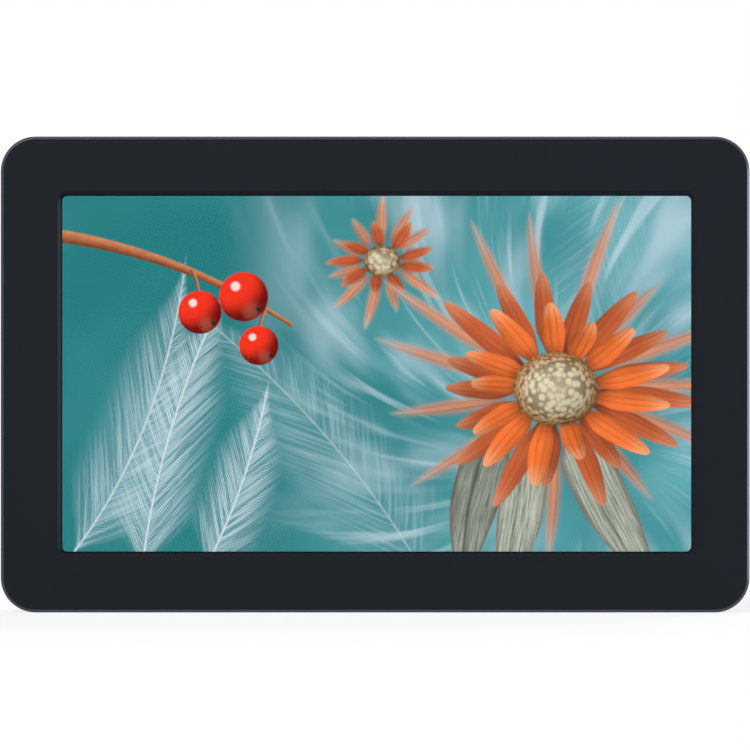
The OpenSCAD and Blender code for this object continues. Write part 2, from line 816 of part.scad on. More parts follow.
module button_board() {
    mid_x = (post_x[0] + post_x[1]) / 2;
    color("#1f5a3c") upright() difference() {
        translate([mid_x, switch_board_y - switch_board_t / 2, band_mid_z])
            cube([19.4, switch_board_t, 6], center = true);
        for (x = post_x) translate([x, switch_board_y + 1, band_mid_z]) rotate([90, 0, 0])
            cylinder(r = stake_r + fit_gap, h = switch_board_t + 2);
    }
}

module power_switch() {
    color("#2a2a2c") upright() {
        difference() {
            translate([button_x, switch_board_y + switch_h / 2, band_mid_z])
                cube([4.2, switch_h, 3.4], center = true);
            translate([button_x, switch_board_y + 0.9, band_mid_z]) rotate([-90, 0, 0])
                cylinder(r = plunger_r + 0.1, h = switch_h);
        }
        translate([light_x, switch_board_y + 0.3, band_mid_z]) cube([1.6, 0.6, 0.8], center = true);
    }
}

// The key, its flange behind the wall and the stem that works the switch
module power_button() {
    stem_end = switch_board_y + 0.9 + button_travel + 0.15;
    color("#33363b") upright() translate([button_x, 0, band_mid_z]) {
        difference() {
            stadium_y(button_w, button_t, flange_y - 0.1, button_top_y);
            translate([0, button_top_y + 2.2, 0]) rotate([0, 90, 0]) cylinder(r = 2.5, h = 5, center = true);
        }
        stadium_y(button_w + 1.8, button_t + 1.8, flange_y - flange_t, flange_y);
        translate([0, flange_y - flange_t, 0]) rotate([90, 0, 0])
            cylinder(r = plunger_r, h = flange_y - flange_t - stem_end);
    }
}

module light_pipe() {
    low = switch_board_y + 0.7;
    color("#dfe8ea") upright() translate([light_x, low, band_mid_z]) rotate([-90, 0, 0])
        cylinder(r = light_r, h = half_h - 0.05 - low);
}

module button_ribbon() {
    r = 0.6;
    z = board_back_z - ribbon_t / 2;
    y = switch_board_y - switch_board_t - ribbon_t / 2;
    color("#c98a3a") upright() translate([button_x - 3, 0, 0]) strip(concat(
        [[board_h / 2 - 2.5, z]],
        bend([y - r, z + r], r, -90, 0),
        [[y, band_mid_z + 1]]
    ), button_ribbon_w, ribbon_t);
}

// ---------------------------------------------------------------- battery plate

module hook(side, y) {
    reach = rail_gap / 2 - hook_reach;
    translate([side * (reach + plate_w / 2) / 2, y, back_z + hook_t / 2])
        cube([plate_w / 2 - reach, hook_len, hook_t], center = true);
}

module battery_plate() {
    rail_low = plate_low_y + plate_r;
    rail_len = plate_h - 2 * plate_r;
    window_top = [latch_window.x + 0.4, latch_window.y + 0.4];
    color("#202226") upright() difference() {
        union() {
            translate([0, plate_y, 0]) slab(plate_w, plate_h, plate_r, plate_face_z, pocket_z);
            for (side = [-1, 1]) {
                translate([side * (plate_w - rail_t) / 2, rail_low + rail_len / 2, 0])
                    block(rail_t, rail_len, back_z, plate_face_z);
                for (y = hook_at) hook(side, y);
            }
            translate([0, plate_low_y + block_h / 2 + 0.3, (plate_face_z + back_z + 0.4) / 2])
                cube([block_w, block_h - 0.6, plate_face_z - back_z - 0.4], center = true);
        }
        translate([0, latch_y, 0]) block(window_top.x, window_top.y, back_z, pocket_z + 1);
        for (sx = [-1, 1]) {
            translate([sx * blade_x, foot_y + block_h / 2, blade_z - blade.z / 2])
                cube([blade.x, block_h, blade.z], center = true);
            translate([sx * blade_x, tail_y, 0]) block(blade.x, tail_h, blade_z - blade.z, pocket_z + 1);
        }
        at(plate_screw_at) {
            rod(small_screw_r + 0.1, back_z, pocket_z + 1);
            rod(small_head_r + 0.15, back_z, plate_face_z + small_head_t);
        }
    }
}

module battery_plate_screws() {
    color("#8b8d90") upright() at(plate_screw_at)
        screw(small_head_r, small_head_t, small_screw_r, plate_face_z, floor_z + 0.6);
}

// Two spring blades that reach up into the battery, each with a tail into the housing
module battery_contacts() {
    top_y = plate_low_y + block_h + blade.y;
    color("#d8b45a") upright() for (sx = [-1, 1]) {
        translate([sx * blade_x, (foot_y + top_y) / 2, blade_z - blade.z / 2])
            cube([blade.x, top_y - foot_y, blade.z], center = true);
        translate([sx * blade_x, tail_y, 0]) block(blade.x, tail_h, blade_z - blade.z / 2, tail_end_z);
    }
}

// Two insulated leads from the contact tails to the connector on the main board
module battery_leads() {
    lead_r = 0.6;
    end = [2, lead_connector_y - lead_connector.y / 2, board_back_z - lead_connector.z / 2];
    start = [blade_x, tail_y + tail_h / 2, tail_end_z - 0.75];
    color("#a02a22") upright() for (sx = [-1, 1]) {
        steps = 12;
        tube([
            for (i = [0:steps])
                let (t = i / steps, s = t * t * (3 - 2 * t))
                [sx * (start.x + (end.x - start.x) * s), start.y + (end.y - start.y) * t,
                 start.z + (end.z - start.z) * s]
        ], lead_r);
    }
}

// The catch that a battery's upper end stops against, with its ramp and thumb pad
module battery_latch() {
    ridge_z = plate_face_z - 2.3;
    face_y = 1.2;
    top_y = latch_window.y / 2 - 0.1;
    color("#3a3d42") upright() translate([0, latch_y, 0]) {
        block(latch_flange.x, latch_flange.y, pocket_z, pocket_z + latch_flange_t);
        block(latch_window.x, latch_window.y - 0.2, plate_face_z + 0.2, pocket_z);
        difference() {
            translate([-latch_window.x / 2, 0, 0]) rotate([90, 0, 90])
                linear_extrude(latch_window.x) polygon([
                    [face_y, plate_face_z + 0.3], [face_y, ridge_z], [face_y + 0.8, ridge_z],
                    [top_y, plate_face_z - 0.2], [top_y, plate_face_z + 0.3]
                ]);
            for (i = [1:3]) translate([0, face_y + 0.8 + 0.6 * i, ridge_z + 0.52 * i])
                rotate([41, 0, 0]) cube([8, 0.3, 0.5], center = true);
        }
        rod(1.2, pocket_z, pocket_z + latch_flange_t + 0.8);
    }
}

// A compression spring with closed ends, between the catch and the floor of its well
module latch_spring() {
    low = pocket_z + latch_flange_t + spring_wire / 2;
    high = well_floor_z - spring_wire / 2;
    steps = 14 * spring_turns;
    color("#b5b8ba") upright() translate([0, latch_y, 0]) tube([
        for (i = [0:steps])
            let (a = 360 * spring_turns * i / steps,
                 climb = min(1, max(0, (i / steps - 0.1) / 0.8)))
            [spring_r * cos(a), spring_r * sin(a), low + (high - low) * climb]
    ], spring_wire / 2, 6);
}

// ---------------------------------------------------------------- output

top_rail();
bottom_rail();
left_rail();
right_rail();
front_bezel();
touch_glass();
glass_gasket();
lcd_cell();
diffuser_sheet();
light_guide();
backlight_tray();
led_strip();
heat_spreader();
spreader_screws();
main_board();
processor_chip();
memory_chips();
thermal_pad();
board_components();
board_connectors();
board_screws();
display_ribbon();
touch_ribbon();
headphone_socket();
video_socket();
data_socket();
power_outlet();
button_board();
power_switch();
power_button();
light_pipe();
button_ribbon();
bottom_insert();
top_insert();
side_insert();
rear_cover();
housing_screws();
battery_plate();
battery_plate_screws();
battery_contacts();
battery_leads();
battery_latch();
latch_spring();
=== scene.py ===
import math

import bmesh
import bpy
from mathutils import Matrix, Vector


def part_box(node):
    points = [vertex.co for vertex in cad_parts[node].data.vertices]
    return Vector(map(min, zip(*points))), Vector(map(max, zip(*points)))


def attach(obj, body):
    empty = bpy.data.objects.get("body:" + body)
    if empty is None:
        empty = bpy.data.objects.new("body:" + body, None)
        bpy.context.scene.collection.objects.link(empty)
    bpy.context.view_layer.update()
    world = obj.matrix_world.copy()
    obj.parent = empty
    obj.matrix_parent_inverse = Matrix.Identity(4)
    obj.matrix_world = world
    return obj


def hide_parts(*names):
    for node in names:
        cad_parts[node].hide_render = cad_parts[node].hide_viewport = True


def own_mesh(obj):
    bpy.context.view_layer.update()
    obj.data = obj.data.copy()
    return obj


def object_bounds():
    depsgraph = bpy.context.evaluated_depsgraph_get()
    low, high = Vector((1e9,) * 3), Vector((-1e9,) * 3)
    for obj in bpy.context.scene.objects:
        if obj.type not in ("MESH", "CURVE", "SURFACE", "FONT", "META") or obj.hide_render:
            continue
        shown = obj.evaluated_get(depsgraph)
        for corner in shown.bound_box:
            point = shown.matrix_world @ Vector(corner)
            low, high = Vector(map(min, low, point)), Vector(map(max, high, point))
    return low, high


# A camera field monitor: the finishes of its shell, its lit screen, its screws, threads
# and sockets, and the plain studio that it stands in. Lengths are in metres.

RIM_BEVEL = 0.00046  # how far back the cut bevel of the frame's front edge reaches
FLAT_FRONT = 0.00008  # how far back the bezel's flat front reaches, before its flare
SAME_POINT = 1e-7  # points nearer than this are joined
MITRE_GAP = 2e-6  # the frame's rails meet within this
THREAD_CREST_R, THREAD_PITCH = 0.0026, 0.00127
PICTURE_SPLIT = -12.0  # mm from the screen's middle, between its two sides

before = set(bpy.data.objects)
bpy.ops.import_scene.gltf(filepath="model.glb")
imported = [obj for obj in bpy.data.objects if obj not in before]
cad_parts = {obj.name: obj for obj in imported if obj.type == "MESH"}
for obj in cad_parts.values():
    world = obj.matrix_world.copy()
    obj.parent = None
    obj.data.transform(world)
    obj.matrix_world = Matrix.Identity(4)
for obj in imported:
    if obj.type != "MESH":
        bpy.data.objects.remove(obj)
cad_lo, cad_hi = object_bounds()
cad_middle = (cad_lo + cad_hi) / 2


# ------------------------------------------------------------------ node trees


class Val:
    """One socket of a tree. Arithmetic on it adds the Math nodes that it needs."""

    def __init__(self, tree, socket):
        self.tree = tree
        self.socket = socket

    def op(self, operation, *others):
        return self.tree.node("ShaderNodeMath", {"operation": operation}, [self, *others])

    def after(self, operation, first):
        return self.tree.node("ShaderNodeMath", {"operation": operation}, [first, self])

    def __add__(self, other):
        return self.op("ADD", other)

    def __radd__(self, other):
        return self.after("ADD", other)

    def __sub__(self, other):
        return self.op("SUBTRACT", other)

    def __rsub__(self, other):
        return self.after("SUBTRACT", other)

    def __mul__(self, other):
        return self.op("MULTIPLY", other)

    def __truediv__(self, other):
        return self.op("DIVIDE", other)

    def __pow__(self, other):
        return self.op("POWER", other)

    def __neg__(self):
        return self.op("MULTIPLY", -1.0)

    def __abs__(self):
        return self.op("ABSOLUTE")

    def floor(self):
        return self.op("FLOOR")

    def sqrt(self):
        return self.op("SQRT")

    def most(self, other):
        return self.op("MAXIMUM", other)

    def over(self, limit):
        return self.op("GREATER_THAN", limit)

    def under(self, limit):
        return self.op("LESS_THAN", limit)

    def smooth(self, low, high):
        """0 at low and 1 at high, with an eased step between them."""
        settings = {"interpolation_type": "SMOOTHSTEP"}
        return self.tree.node("ShaderNodeMapRange", settings, {0: self, 1: low, 2: high})


class Tree:
    """A node tree. Every node in it comes from node()."""

    def __init__(self, tree):
        self.tree = tree

    def node(self, kind, settings=None, inputs=(), out=0):
        """Adds a node, sets it up, and fills its inputs by place or by name."""
        made = self.tree.nodes.new(kind)
        for name, value in (settings or {}).items():
            setattr(made, name, value)
        filled = inputs.items() if isinstance(inputs, dict) else enumerate(inputs)
        for key, value in filled:
            self.fill(made.inputs[key], value)
        return Val(self, made.outputs[out]) if len(made.outputs) else made

    def fill(self, socket, value):
        if isinstance(value, Val):
            self.tree.links.new(value.socket, socket)
        elif socket.type == "RGBA" and len(value) == 3:
            socket.default_value = (*value, 1.0)
        else:
            socket.default_value = value


class Shader(Tree):
    """A node material that is written as expressions."""

    def __init__(self, name):
        self.material = bpy.data.materials.new(name)
        self.material.use_nodes = True
        super().__init__(self.material.node_tree)
        self.tree.nodes.clear()
        self.places = {}

    def place(self):
        """The object's own coordinates, as a vector and as three values."""
        if not self.places:
            whole = self.node("ShaderNodeTexCoord", out="Object")
            parts = self.tree.nodes.new("ShaderNodeSeparateXYZ")
            self.fill(parts.inputs[0], whole)
            self.places = {"whole": whole, "xyz": [Val(self, s) for s in parts.outputs]}
        return self.places["whole"], self.places["xyz"]

    def vector(self, x, y, z=0.0):
        return self.node("ShaderNodeCombineXYZ", None, [x, y, z])

    def noise(self, at, scale, detail=2.0, rough=0.5):
        settings = {"noise_dimensions": "3D"}
        inputs = {"Vector": at, "Scale": scale, "Detail": detail, "Roughness": rough}
        return self.node("ShaderNodeTexNoise", settings, inputs)

    def cells(self, at, scale, feature="F1"):
        settings = {"voronoi_dimensions": "3D", "feature": feature}
        return self.node("ShaderNodeTexVoronoi", settings, {"Vector": at, "Scale": scale})

    def chance(self, value):
        """A steady random number from 0 to 1 for each whole value."""
        return self.node("ShaderNodeTexWhiteNoise", {"noise_dimensions": "1D"}, {"W": value})

    def mix(self, first, second, share):
        """A colour between two others."""
        inputs = {0: share, 6: first, 7: second}
        return self.node("ShaderNodeMix", {"data_type": "RGBA"}, inputs, out=2)

    def tint(self, colour, gain):
        """A colour times a value."""
        grey = self.node("ShaderNodeCombineColor", None, [gain, gain, gain])
        settings = {"data_type": "RGBA", "blend_type": "MULTIPLY"}
        return self.node("ShaderNodeMix", settings, {0: 1.0, 6: colour, 7: grey}, out=2)

    def stretched(self, at, scales):
        return self.node("ShaderNodeMapping", None, {"Vector": at, "Scale": scales})

    def bump(self, height, depth):
        """A normal from a height of 0 to 1 that stands for depth metres."""
        inputs = {"Strength": 1.0, "Distance": depth, "Height": height}
        return self.node("ShaderNodeBump", None, inputs)

    def surface(self, **sockets):
        """Ends the material in one Principled shader. Names take _ for a space."""
        inputs = {name.replace("_", " "): value for name, value in sockets.items()}
        lit = self.node("ShaderNodeBsdfPrincipled", None, inputs)
        self.end(lit)
        return self.material

    def end(self, lit):
        self.node("ShaderNodeOutputMaterial", None, {"Surface": lit})


class Repeater(Tree):
    """A Geometry Nodes tree with named inputs, that ends as one plain mesh."""

    def __init__(self, name, **inputs):
        super().__init__(bpy.data.node_groups.new(name, "GeometryNodeTree"))
        sides = self.tree.interface
        sides.new_socket("Geometry", in_out="INPUT", socket_type="NodeSocketGeometry")
        sides.new_socket("Geometry", in_out="OUTPUT", socket_type="NodeSocketGeometry")
        kinds = {
            float: "Float", int: "Int", Vector: "Vector",
            bpy.types.Object: "Object", bpy.types.Material: "Material",
        }
        self.values = {}
        for label, value in inputs.items():
            kind = "NodeSocket" + kinds[type(value)]
            made = sides.new_socket(label, in_out="INPUT", socket_type=kind)
            self.values[made.identifier] = value
        self.start = self.tree.nodes.new("NodeGroupInput")

    def given(self, label):
        return Val(self, self.start.outputs[label])

    def at_points(self, points, turn=(0.0, 0.0, 0.0)):
        """Puts the item at every point, makes it real, gives it its finish and ends."""
        item = self.node("GeometryNodeObjectInfo", None, {"Object": self.given("item")}, "Geometry")
        put = {"Points": points, "Instance": item, "Rotation": turn}
        row = self.node("GeometryNodeInstanceOnPoints", None, put)
        real = self.node("GeometryNodeRealizeInstances", None, {"Geometry": row})
        ends = {"Geometry": real, "Material": self.given("finish")}
        done = self.node("GeometryNodeSetMaterial", None, ends)
        self.node("NodeGroupOutput", None, {"Geometry": done})

    def made_from(self, mesh):
        """Runs the tree on a mesh, and returns the result as a plain mesh."""
        holder = in_scene("holder", mesh)
        runner = holder.modifiers.new("repeat", "NODES")
        runner.node_group = self.tree
        for identifier, value in self.values.items():
            runner[identifier] = tuple(value) if isinstance(value, Vector) else value
        return applied(holder)


def angle_of(x, y):
    """The direction of a point, as a share of a turn from -0.5 to 0.5."""
    return x.tree.node("ShaderNodeMath", {"operation": "ARCTAN2"}, [y, x]) / math.tau


def length_of(x, y):
    """The distance of a point from the origin."""
    return (x * x + y * y).sqrt()


# ------------------------------------------------------------------ shell finishes


def moulded_plastic(name, colour, rough=0.5, grain=9000.0, depth=0.00001, sheen=0.35):
    """Matt plastic with a fine spark-eroded grain and a faint uneven polish."""
    s = Shader(name)
    at, _ = s.place()
    fine = s.noise(at, grain, 2.0, 0.6)
    cloud = s.noise(at, 45.0, 3.0)
    return s.surface(
        Base_Color=s.tint(colour, 0.9 + cloud * 0.2),
        Roughness=rough - 0.06 + cloud * 0.12,
        Specular_IOR_Level=sheen,
        Normal=s.bump(fine, depth),
    )


def bezel_plastic(name, colour):
    """The bezel's matt plastic. The mould leaves the flare round the window smoother."""
    s = Shader(name)
    at, (_, y, _) = s.place()
    fine = s.noise(at, 8000.0, 2.0, 0.6)
    cloud = s.noise(at, 45.0, 3.0)
    flare = y.over(cad_lo.y + FLAT_FRONT)
    return s.surface(
        Base_Color=s.tint(colour, 0.9 + cloud * 0.2),
        Roughness=0.44 + cloud * 0.12 - flare * 0.22,
        Specular_IOR_Level=0.07,
        Normal=s.bump(fine * (1.0 - flare), 0.000008),
    )


def anodised_frame(name, colour):
    """Blasted and dark anodised metal, turned smoother along the bevel at the front."""
    s = Shader(name)
    at, (_, y, _) = s.place()
    fine = s.noise(at, 7000.0, 2.0, 0.6)
    cloud = s.noise(at, 30.0, 3.0)
    bevel = y.under(cad_lo.y + RIM_BEVEL)
    tooling = s.noise(s.stretched(at, (1.0, 12.0, 1.0)), 1500.0)
    return s.surface(
        Base_Color=s.tint(colour, 0.86 + cloud * 0.2 + tooling * bevel * 0.2),
        Metallic=0.9,
        Roughness=0.42 + cloud * 0.08 - bevel * 0.12,
        Normal=s.bump(fine * (1.0 - bevel), 0.000008),
    )


def brushed_metal(name, colour, rough=0.3, along=(1.0, 1.0, 14.0)):
    """Plated or machined metal with fine tool lines and a few dull patches."""
    s = Shader(name)
    at, _ = s.place()
    lines = s.noise(s.stretched(at, along), 4000.0, 3.0, 0.6)
    patches = s.noise(at, 260.0, 3.0)
    return s.surface(
        Base_Color=s.tint(colour, 0.82 + lines * 0.2 + patches * 0.12),
        Metallic=1.0,
        Roughness=rough - 0.05 + patches * 0.14,
        Normal=s.bump(lines, 0.000004),
    )


def plated_insert(name, colour, mouth, outwards, bore_r):
    """Plated steel, clean at its mouth; down in its thread it is rougher, and its colour is
    darkened with depth as painted shade.
    """
    s = Shader(name)
    at, place = s.place()
    across = [place[i] - mouth[i] for i in range(3) if not outwards[i]]
    down = [(mouth[i] - place[i]) * outwards[i] for i in range(3) if outwards[i]]
    lines = s.noise(at, 5000.0, 3.0, 0.6)
    # Painted shade: deeper in the bore the base colour is darkened, and the roughness also rises
    # there.
    painted_shade_and_dull = down[0].smooth(0.0003, 0.0030) * length_of(*across).under(bore_r)
    return s.surface(
        Base_Color=s.tint(colour, (0.85 + lines * 0.3) * (1.0 - painted_shade_and_dull * 0.9)),
        Metallic=1.0,
        Roughness=0.34 + lines * 0.08 + painted_shade_and_dull * 0.2,
        Normal=s.bump(lines, 0.000004),
    )


def soft_rubber(name, colour):
    """Dull rubber or foam with a fine open skin."""
    s = Shader(name)
    at, _ = s.place()
    fine = s.noise(at, 6000.0, 3.0, 0.6)
    cloud = s.noise(at, 90.0)
    return s.surface(
        Base_Color=s.tint(colour, 0.85 + cloud * 0.3),
        Roughness=0.7 + cloud * 0.15,
        Normal=s.bump(fine, 0.00001),
    )


def circuit_board(name):
    """Green solder mask over copper tracks, with plated pads."""
    s = Shader(name)
    at, _ = s.place()
    lanes = s.cells(s.stretched(at, (1.0, 1.0, 0.35)), 520.0, "DISTANCE_TO_EDGE")
    track = lanes.smooth(0.10, 0.03)
    pads = s.cells(at, 900.0).smooth(0.22, 0.16)
    cloud = s.noise(at, 60.0)
    mask = s.mix((0.008, 0.075, 0.036), (0.016, 0.14, 0.065), track)
    return s.surface(
        Base_Color=s.mix(mask, (0.74, 0.56, 0.26), pads),
        Metallic=pads * 0.9,
        Roughness=0.32 + cloud * 0.1,
        Normal=s.bump(track + pads, 0.00002),
    )


def clear_plastic(name, colour):
    """Clear acrylic with a faint uneven haze."""
    s = Shader(name)
    at, _ = s.place()
    haze = s.noise(at, 120.0)
    return s.surface(
        Base_Color=colour,
        Roughness=0.05 + haze * 0.04,
        Transmission_Weight=0.9,
        IOR=1.49,
    )


def cover_glass(name):
    """The touch glass: clear, and slightly uneven in its coating."""
    s = Shader(name)
    at, _ = s.place()
    smear = s.noise(at, 35.0, 3.0)
    return s.surface(
        Base_Color=(1.0, 1.0, 1.0),
        Roughness=(smear - 0.5).most(0.0) * 0.02,
        Transmission_Weight=1.0,
        IOR=1.12,
    )


def amber_film(name):
    """Flexible printed circuit: amber film with parallel copper tracks."""
    s = Shader(name)
    _, (x, _, _) = s.place()
    lane = x * 1600.0
    track = abs(lane - lane.floor() - 0.5).smooth(0.3, 0.2)
    return s.surface(
        Base_Color=s.mix((0.42, 0.16, 0.02), (0.7, 0.3, 0.1), track),
        Roughness=0.35 - track * 0.08,
        Normal=s.bump(track, 0.00002),
    )


def key_top(name, colour, centre, symbol_r):
    """The power key: satin plastic with the usual ring and stroke printed on its top."""
    s = Shader(name)
    at, (x, y, z) = s.place()
    fine = s.noise(at, 9000.0, 2.0, 0.6)
    across = x - centre.x
    up = y - centre.y
    line = symbol_r * 0.17
    ring = abs(length_of(across, up) - symbol_r).smooth(line, line * 0.6)
    beside = abs(across)
    gap = beside.smooth(line * 2.4, line * 2.0) * up.over(0.0)
    stroke = beside.smooth(line, line * 0.6) * up.smooth(0.0, 0.1 * symbol_r)
    stroke = stroke * up.smooth(symbol_r * 1.3, symbol_r * 1.2)
    ink = (ring * (1.0 - gap)).most(stroke) * z.over(centre.z)
    return s.surface(
        Base_Color=s.mix(colour, (0.62, 0.64, 0.66), ink),
        Roughness=0.42 + fine * 0.04,
        Specular_IOR_Level=0.35,
        Normal=s.bump(fine, 0.000008),
    )


def shell_with_tongue(name, metal, low, high):
    """A plated shell whose contact tongue, inside the box from low to high, is black."""
    s = Shader(name)
    at, (x, y, z) = s.place()
    lines = s.noise(s.stretched(at, (1.0, 14.0, 1.0)), 4000.0, 3.0, 0.6)
    inside = x.over(low.x) * y.over(low.y) * y.under(high.y)
    inside = inside * z.over(low.z) * z.under(high.z)
    return s.surface(
        Base_Color=s.mix(s.tint(metal, 0.85 + lines * 0.3), (0.012, 0.012, 0.013), inside),
        Metallic=1.0 - inside,
        Roughness=0.24 + lines * 0.1 + inside * 0.2,
        Normal=s.bump(lines, 0.000003),
    )


def socket_with_pin(name, body, metal, centre, pin_r):
    """A black moulded socket whose middle pin is plated."""
    s = Shader(name)
    at, (_, y, z) = s.place()
    fine = s.noise(at, 7000.0, 2.0, 0.6)
    pin = length_of(y - centre.y, z - centre.z).under(pin_r)
    return s.surface(
        Base_Color=s.mix(s.tint(body, 0.8 + fine * 0.4), metal, pin),
        Metallic=pin,
        Roughness=0.4 - pin * 0.15 + fine * 0.05,
        Normal=s.bump(fine, 0.000006),
    )


def status_light(name, colour):
    """The clear light pipe, softly lit from below by its lamp."""
    s = Shader(name)
    at, (_, _, z) = s.place()
    speckle = s.noise(at, 3000.0)
    near_top = z.smooth(cad_hi.z - 0.003, cad_hi.z)
    return s.surface(
        Base_Color=s.tint((0.10, 0.20, 0.14), 0.8 + speckle * 0.4),
        Roughness=0.25 + speckle * 0.15,
        Emission_Color=s.tint(colour, (0.7 + speckle * 0.3) * near_top),
        Emission_Strength=1.0,
    )


# ------------------------------------------------------------------ the lit screen


class Picture:
    """A garden picture in millimetres from the screen's middle, painted back to front."""

    def __init__(self, s, centre):
        self.s = s
        _, (x, _, z) = s.place()
        self.x = x * 1000.0 - centre.x * 1000.0
        self.y = z * 1000.0 - centre.z * 1000.0
        self.paint = None

    def lay(self, colour, mask):
        """Paints a colour over what is there, where the mask is 1."""
        self.paint = self.s.mix(self.paint, colour, mask)

    def from_point(self, px, py, turn=0.0):
        """Coordinates about a point, turned by an angle in degrees."""
        dx = self.x - px
        dy = self.y - py
        c = math.cos(math.radians(turn))
        n = math.sin(math.radians(turn))
        return dx * c + dy * n, dy * c - dx * n

    def backdrop(self):
        """Blurred teal, deeper in patches and paler at the right."""
        s = self.s
        soft = s.noise(s.vector(self.x, self.y), 0.03)
        side = self.x.smooth(-34.0, 44.0)
        near = s.mix((0.024, 0.228, 0.245), (0.12, 0.40, 0.44), side)
        deep = s.mix((0.012, 0.196, 0.210), (0.05, 0.28, 0.31), side)
        self.paint = s.mix(near, deep, soft.smooth(0.38, 0.62))

    def haze(self):
        """Blurred pale strands that fan out behind the big flower."""
        s = self.s
        u, v = self.from_point(40.0, -14.0)
        r = length_of(u, v)
        turn = angle_of(v, -u) + r * 0.0012
        broad = s.noise(s.vector(turn * 22.0, r * 0.035, 3.0), 1.0)
        fine = s.noise(s.vector(turn * 90.0, r * 0.03, 7.0), 1.0, 2.0, 0.6)
        reach = r.smooth(10.0, 34.0) * self.x.smooth(-32.0, 2.0)
        self.lay((0.46, 0.63, 0.72), broad.smooth(0.42, 0.72) * reach * 0.85)
        self.lay((0.60, 0.75, 0.83), fine.smooth(0.52, 0.78) * reach * 0.6)

    def feather(self, base, turn, bend, long, wide, sharp, seed, tone=1.0):
        """A grass plume: a bent stalk with fine hairs that slant off both its sides."""
        s = self.s
        u, w = self.from_point(*base, turn)
        v = w - u * u * bend
        side = abs(v)
        t = u / long
        body = t.smooth(0.0, 0.25) * t.smooth(1.0, 0.55)
        spread = side / (body * wide + 0.01)
        inside = spread.smooth(1.0, 0.15) * t.smooth(0.0, 0.04) * t.smooth(1.0, 0.9)
        drift = s.noise(s.vector(u * 0.2, v * 0.3, seed), 1.0, 1.0)
        lane = (u - side * 1.5 + drift * 3.0) / 0.62 + v.over(0.0) * 0.5
        edge = abs(lane - lane.floor() - 0.5) * 2.0
        hair = edge.smooth(0.75 - 0.4 * sharp, 1.0)
        strand = s.noise(s.vector((u - side * 1.5) * 0.9, side * 0.12, seed), 1.0, 2.0, 0.6)
        fluff = inside * (0.16 + strand.smooth(0.4, 0.7) * 0.45)
        crisp = inside * hair * strand.smooth(0.3, 0.6) * sharp
        stalk = side.smooth(0.3, 0.1) * t.smooth(0.0, 0.02) * t.smooth(1.0, 0.85)
        self.lay((0.44, 0.62, 0.70), fluff * tone)
        self.lay((0.74, 0.86, 0.92), crisp * tone)
        self.lay((0.66, 0.76, 0.80), stalk * (0.45 + 0.4 * sharp) * tone)

    def petals(self, centre, count, phase, inner, outer, wide, blur, tones, twist=0.0, squash=1.0):
        """One ring of strap petals, each a little longer or shorter than the next."""
        s = self.s
        u, v0 = self.from_point(*centre)
        v = v0 / squash
        r = length_of(u, v)
        turn = angle_of(u, v) * count + phase + r * twist
        number = turn.floor()
        wrapped = number.op("FLOORED_MODULO", float(count))
        own = s.chance(wrapped + phase * 17.0)
        lean = (s.chance(wrapped + phase * 5.0) - 0.5) * 0.34
        local = turn - number - 0.5 + lean
        across = local * r * (math.tau / count)
        t = (r - inner) / (own * (0.34 * outer) + (0.8 * outer - inner))
        half = (1.0 - t * t * t).most(0.0).sqrt() * t.smooth(-0.1, 0.45) * wide + 0.02
        mask = (half - abs(across)).smooth(0.0, blur) * t.smooth(0.0, 0.03) * t.smooth(1.0, 0.97)
        curl = across / half
        streak = s.noise(s.vector(across * 2.2, t * 2.5, own * 40.0), 1.0, 3.0, 0.65)
        dark, body, tip = tones
        colour = s.mix(dark, body, t.smooth(0.0, 0.42))
        colour = s.mix(colour, tip, t.smooth(0.62, 1.05) * 0.8)
        light = 0.62 + own * 0.25 + streak * 0.5 - curl * 0.22 - abs(curl) ** 3.0 * 0.34
        rib = abs(abs(curl) - 0.28).smooth(0.14, 0.0) * 0.22
        self.lay(s.tint(colour, light - rib), mask)

    def disc(self, centre, radius):
        """The flower's crowded middle, domed, with darker florets round its rim."""
        s = self.s
        u, v = self.from_point(*centre)
        r = length_of(u, v / 0.86) / radius
        ripple = s.noise(s.vector(u, v), 1.6, 1.0) * 0.1
        mask = (r + ripple).smooth(1.07, 0.98)
        dome = (1.0 - r * r).most(0.02).sqrt()
        at = s.vector(u / (dome + 0.45), v / (dome + 0.45))
        florets = s.cells(at, 1.05)
        gaps = florets.smooth(0.32, 0.75)
        light = 0.55 + dome * 0.55 - u * 0.02 + v * 0.03
        cream = s.mix((0.66, 0.60, 0.40), (0.50, 0.24, 0.07), r.smooth(0.55, 1.0))
        colour = s.mix(cream, (0.12, 0.05, 0.02), gaps * (0.4 + r * 0.5))
        self.lay(s.tint(colour, light), mask)

    def leaf(self, top, slope, curve, wide, long, light=1.0):
        """A long dry leaf that hangs under the flower."""
        s = self.s
        down = top[1] - self.y
        across = self.x - top[0] - down * slope - down * down * curve
        t = down / long
        half = t.smooth(-0.05, 0.35) * t.smooth(1.35, 0.5) * wide + 0.05
        mask = (half - abs(across)).smooth(0.0, 0.35) * down.smooth(-0.5, 1.0)
        grain = s.noise(s.vector(across * 2.6, down * 0.14, top[0]), 1.0, 4.0, 0.65)
        edge = (abs(across) / half).smooth(0.66, 1.0)
        colour = s.mix((0.17, 0.20, 0.17), (0.50, 0.53, 0.43), grain.smooth(0.3, 0.7))
        colour = s.mix(colour, (0.11, 0.05, 0.05), edge * 0.7)
        fold = abs(across / half + 0.2).smooth(0.14, 0.0) * 0.45
        self.lay(s.tint(colour, (light - fold) * (0.55 + t.smooth(0.0, 0.3) * 0.5)), mask)

    def twig(self, start, turn, long, bow, thick, thin):
        """A round twig that leaves its start at an angle, and bows out in the middle."""
        s = self.s
        along, beside = self.from_point(*start, turn)
        t = along / long
        half = thick + t * (thin - thick)
        across = (beside - t * (1.0 - t) * bow) / half
        knots = s.noise(s.vector(along * 0.5, across, 2.0), 1.0, 3.0, 0.6)
        mask = abs(across).smooth(1.0, 0.78) * t.smooth(0.0, 0.02) * t.smooth(1.0, 0.98)
        colour = s.mix((0.20, 0.045, 0.015), (0.62, 0.24, 0.10), across.smooth(-0.9, 0.9))
        self.lay(s.tint(colour, 0.6 + knots * 0.8), mask)

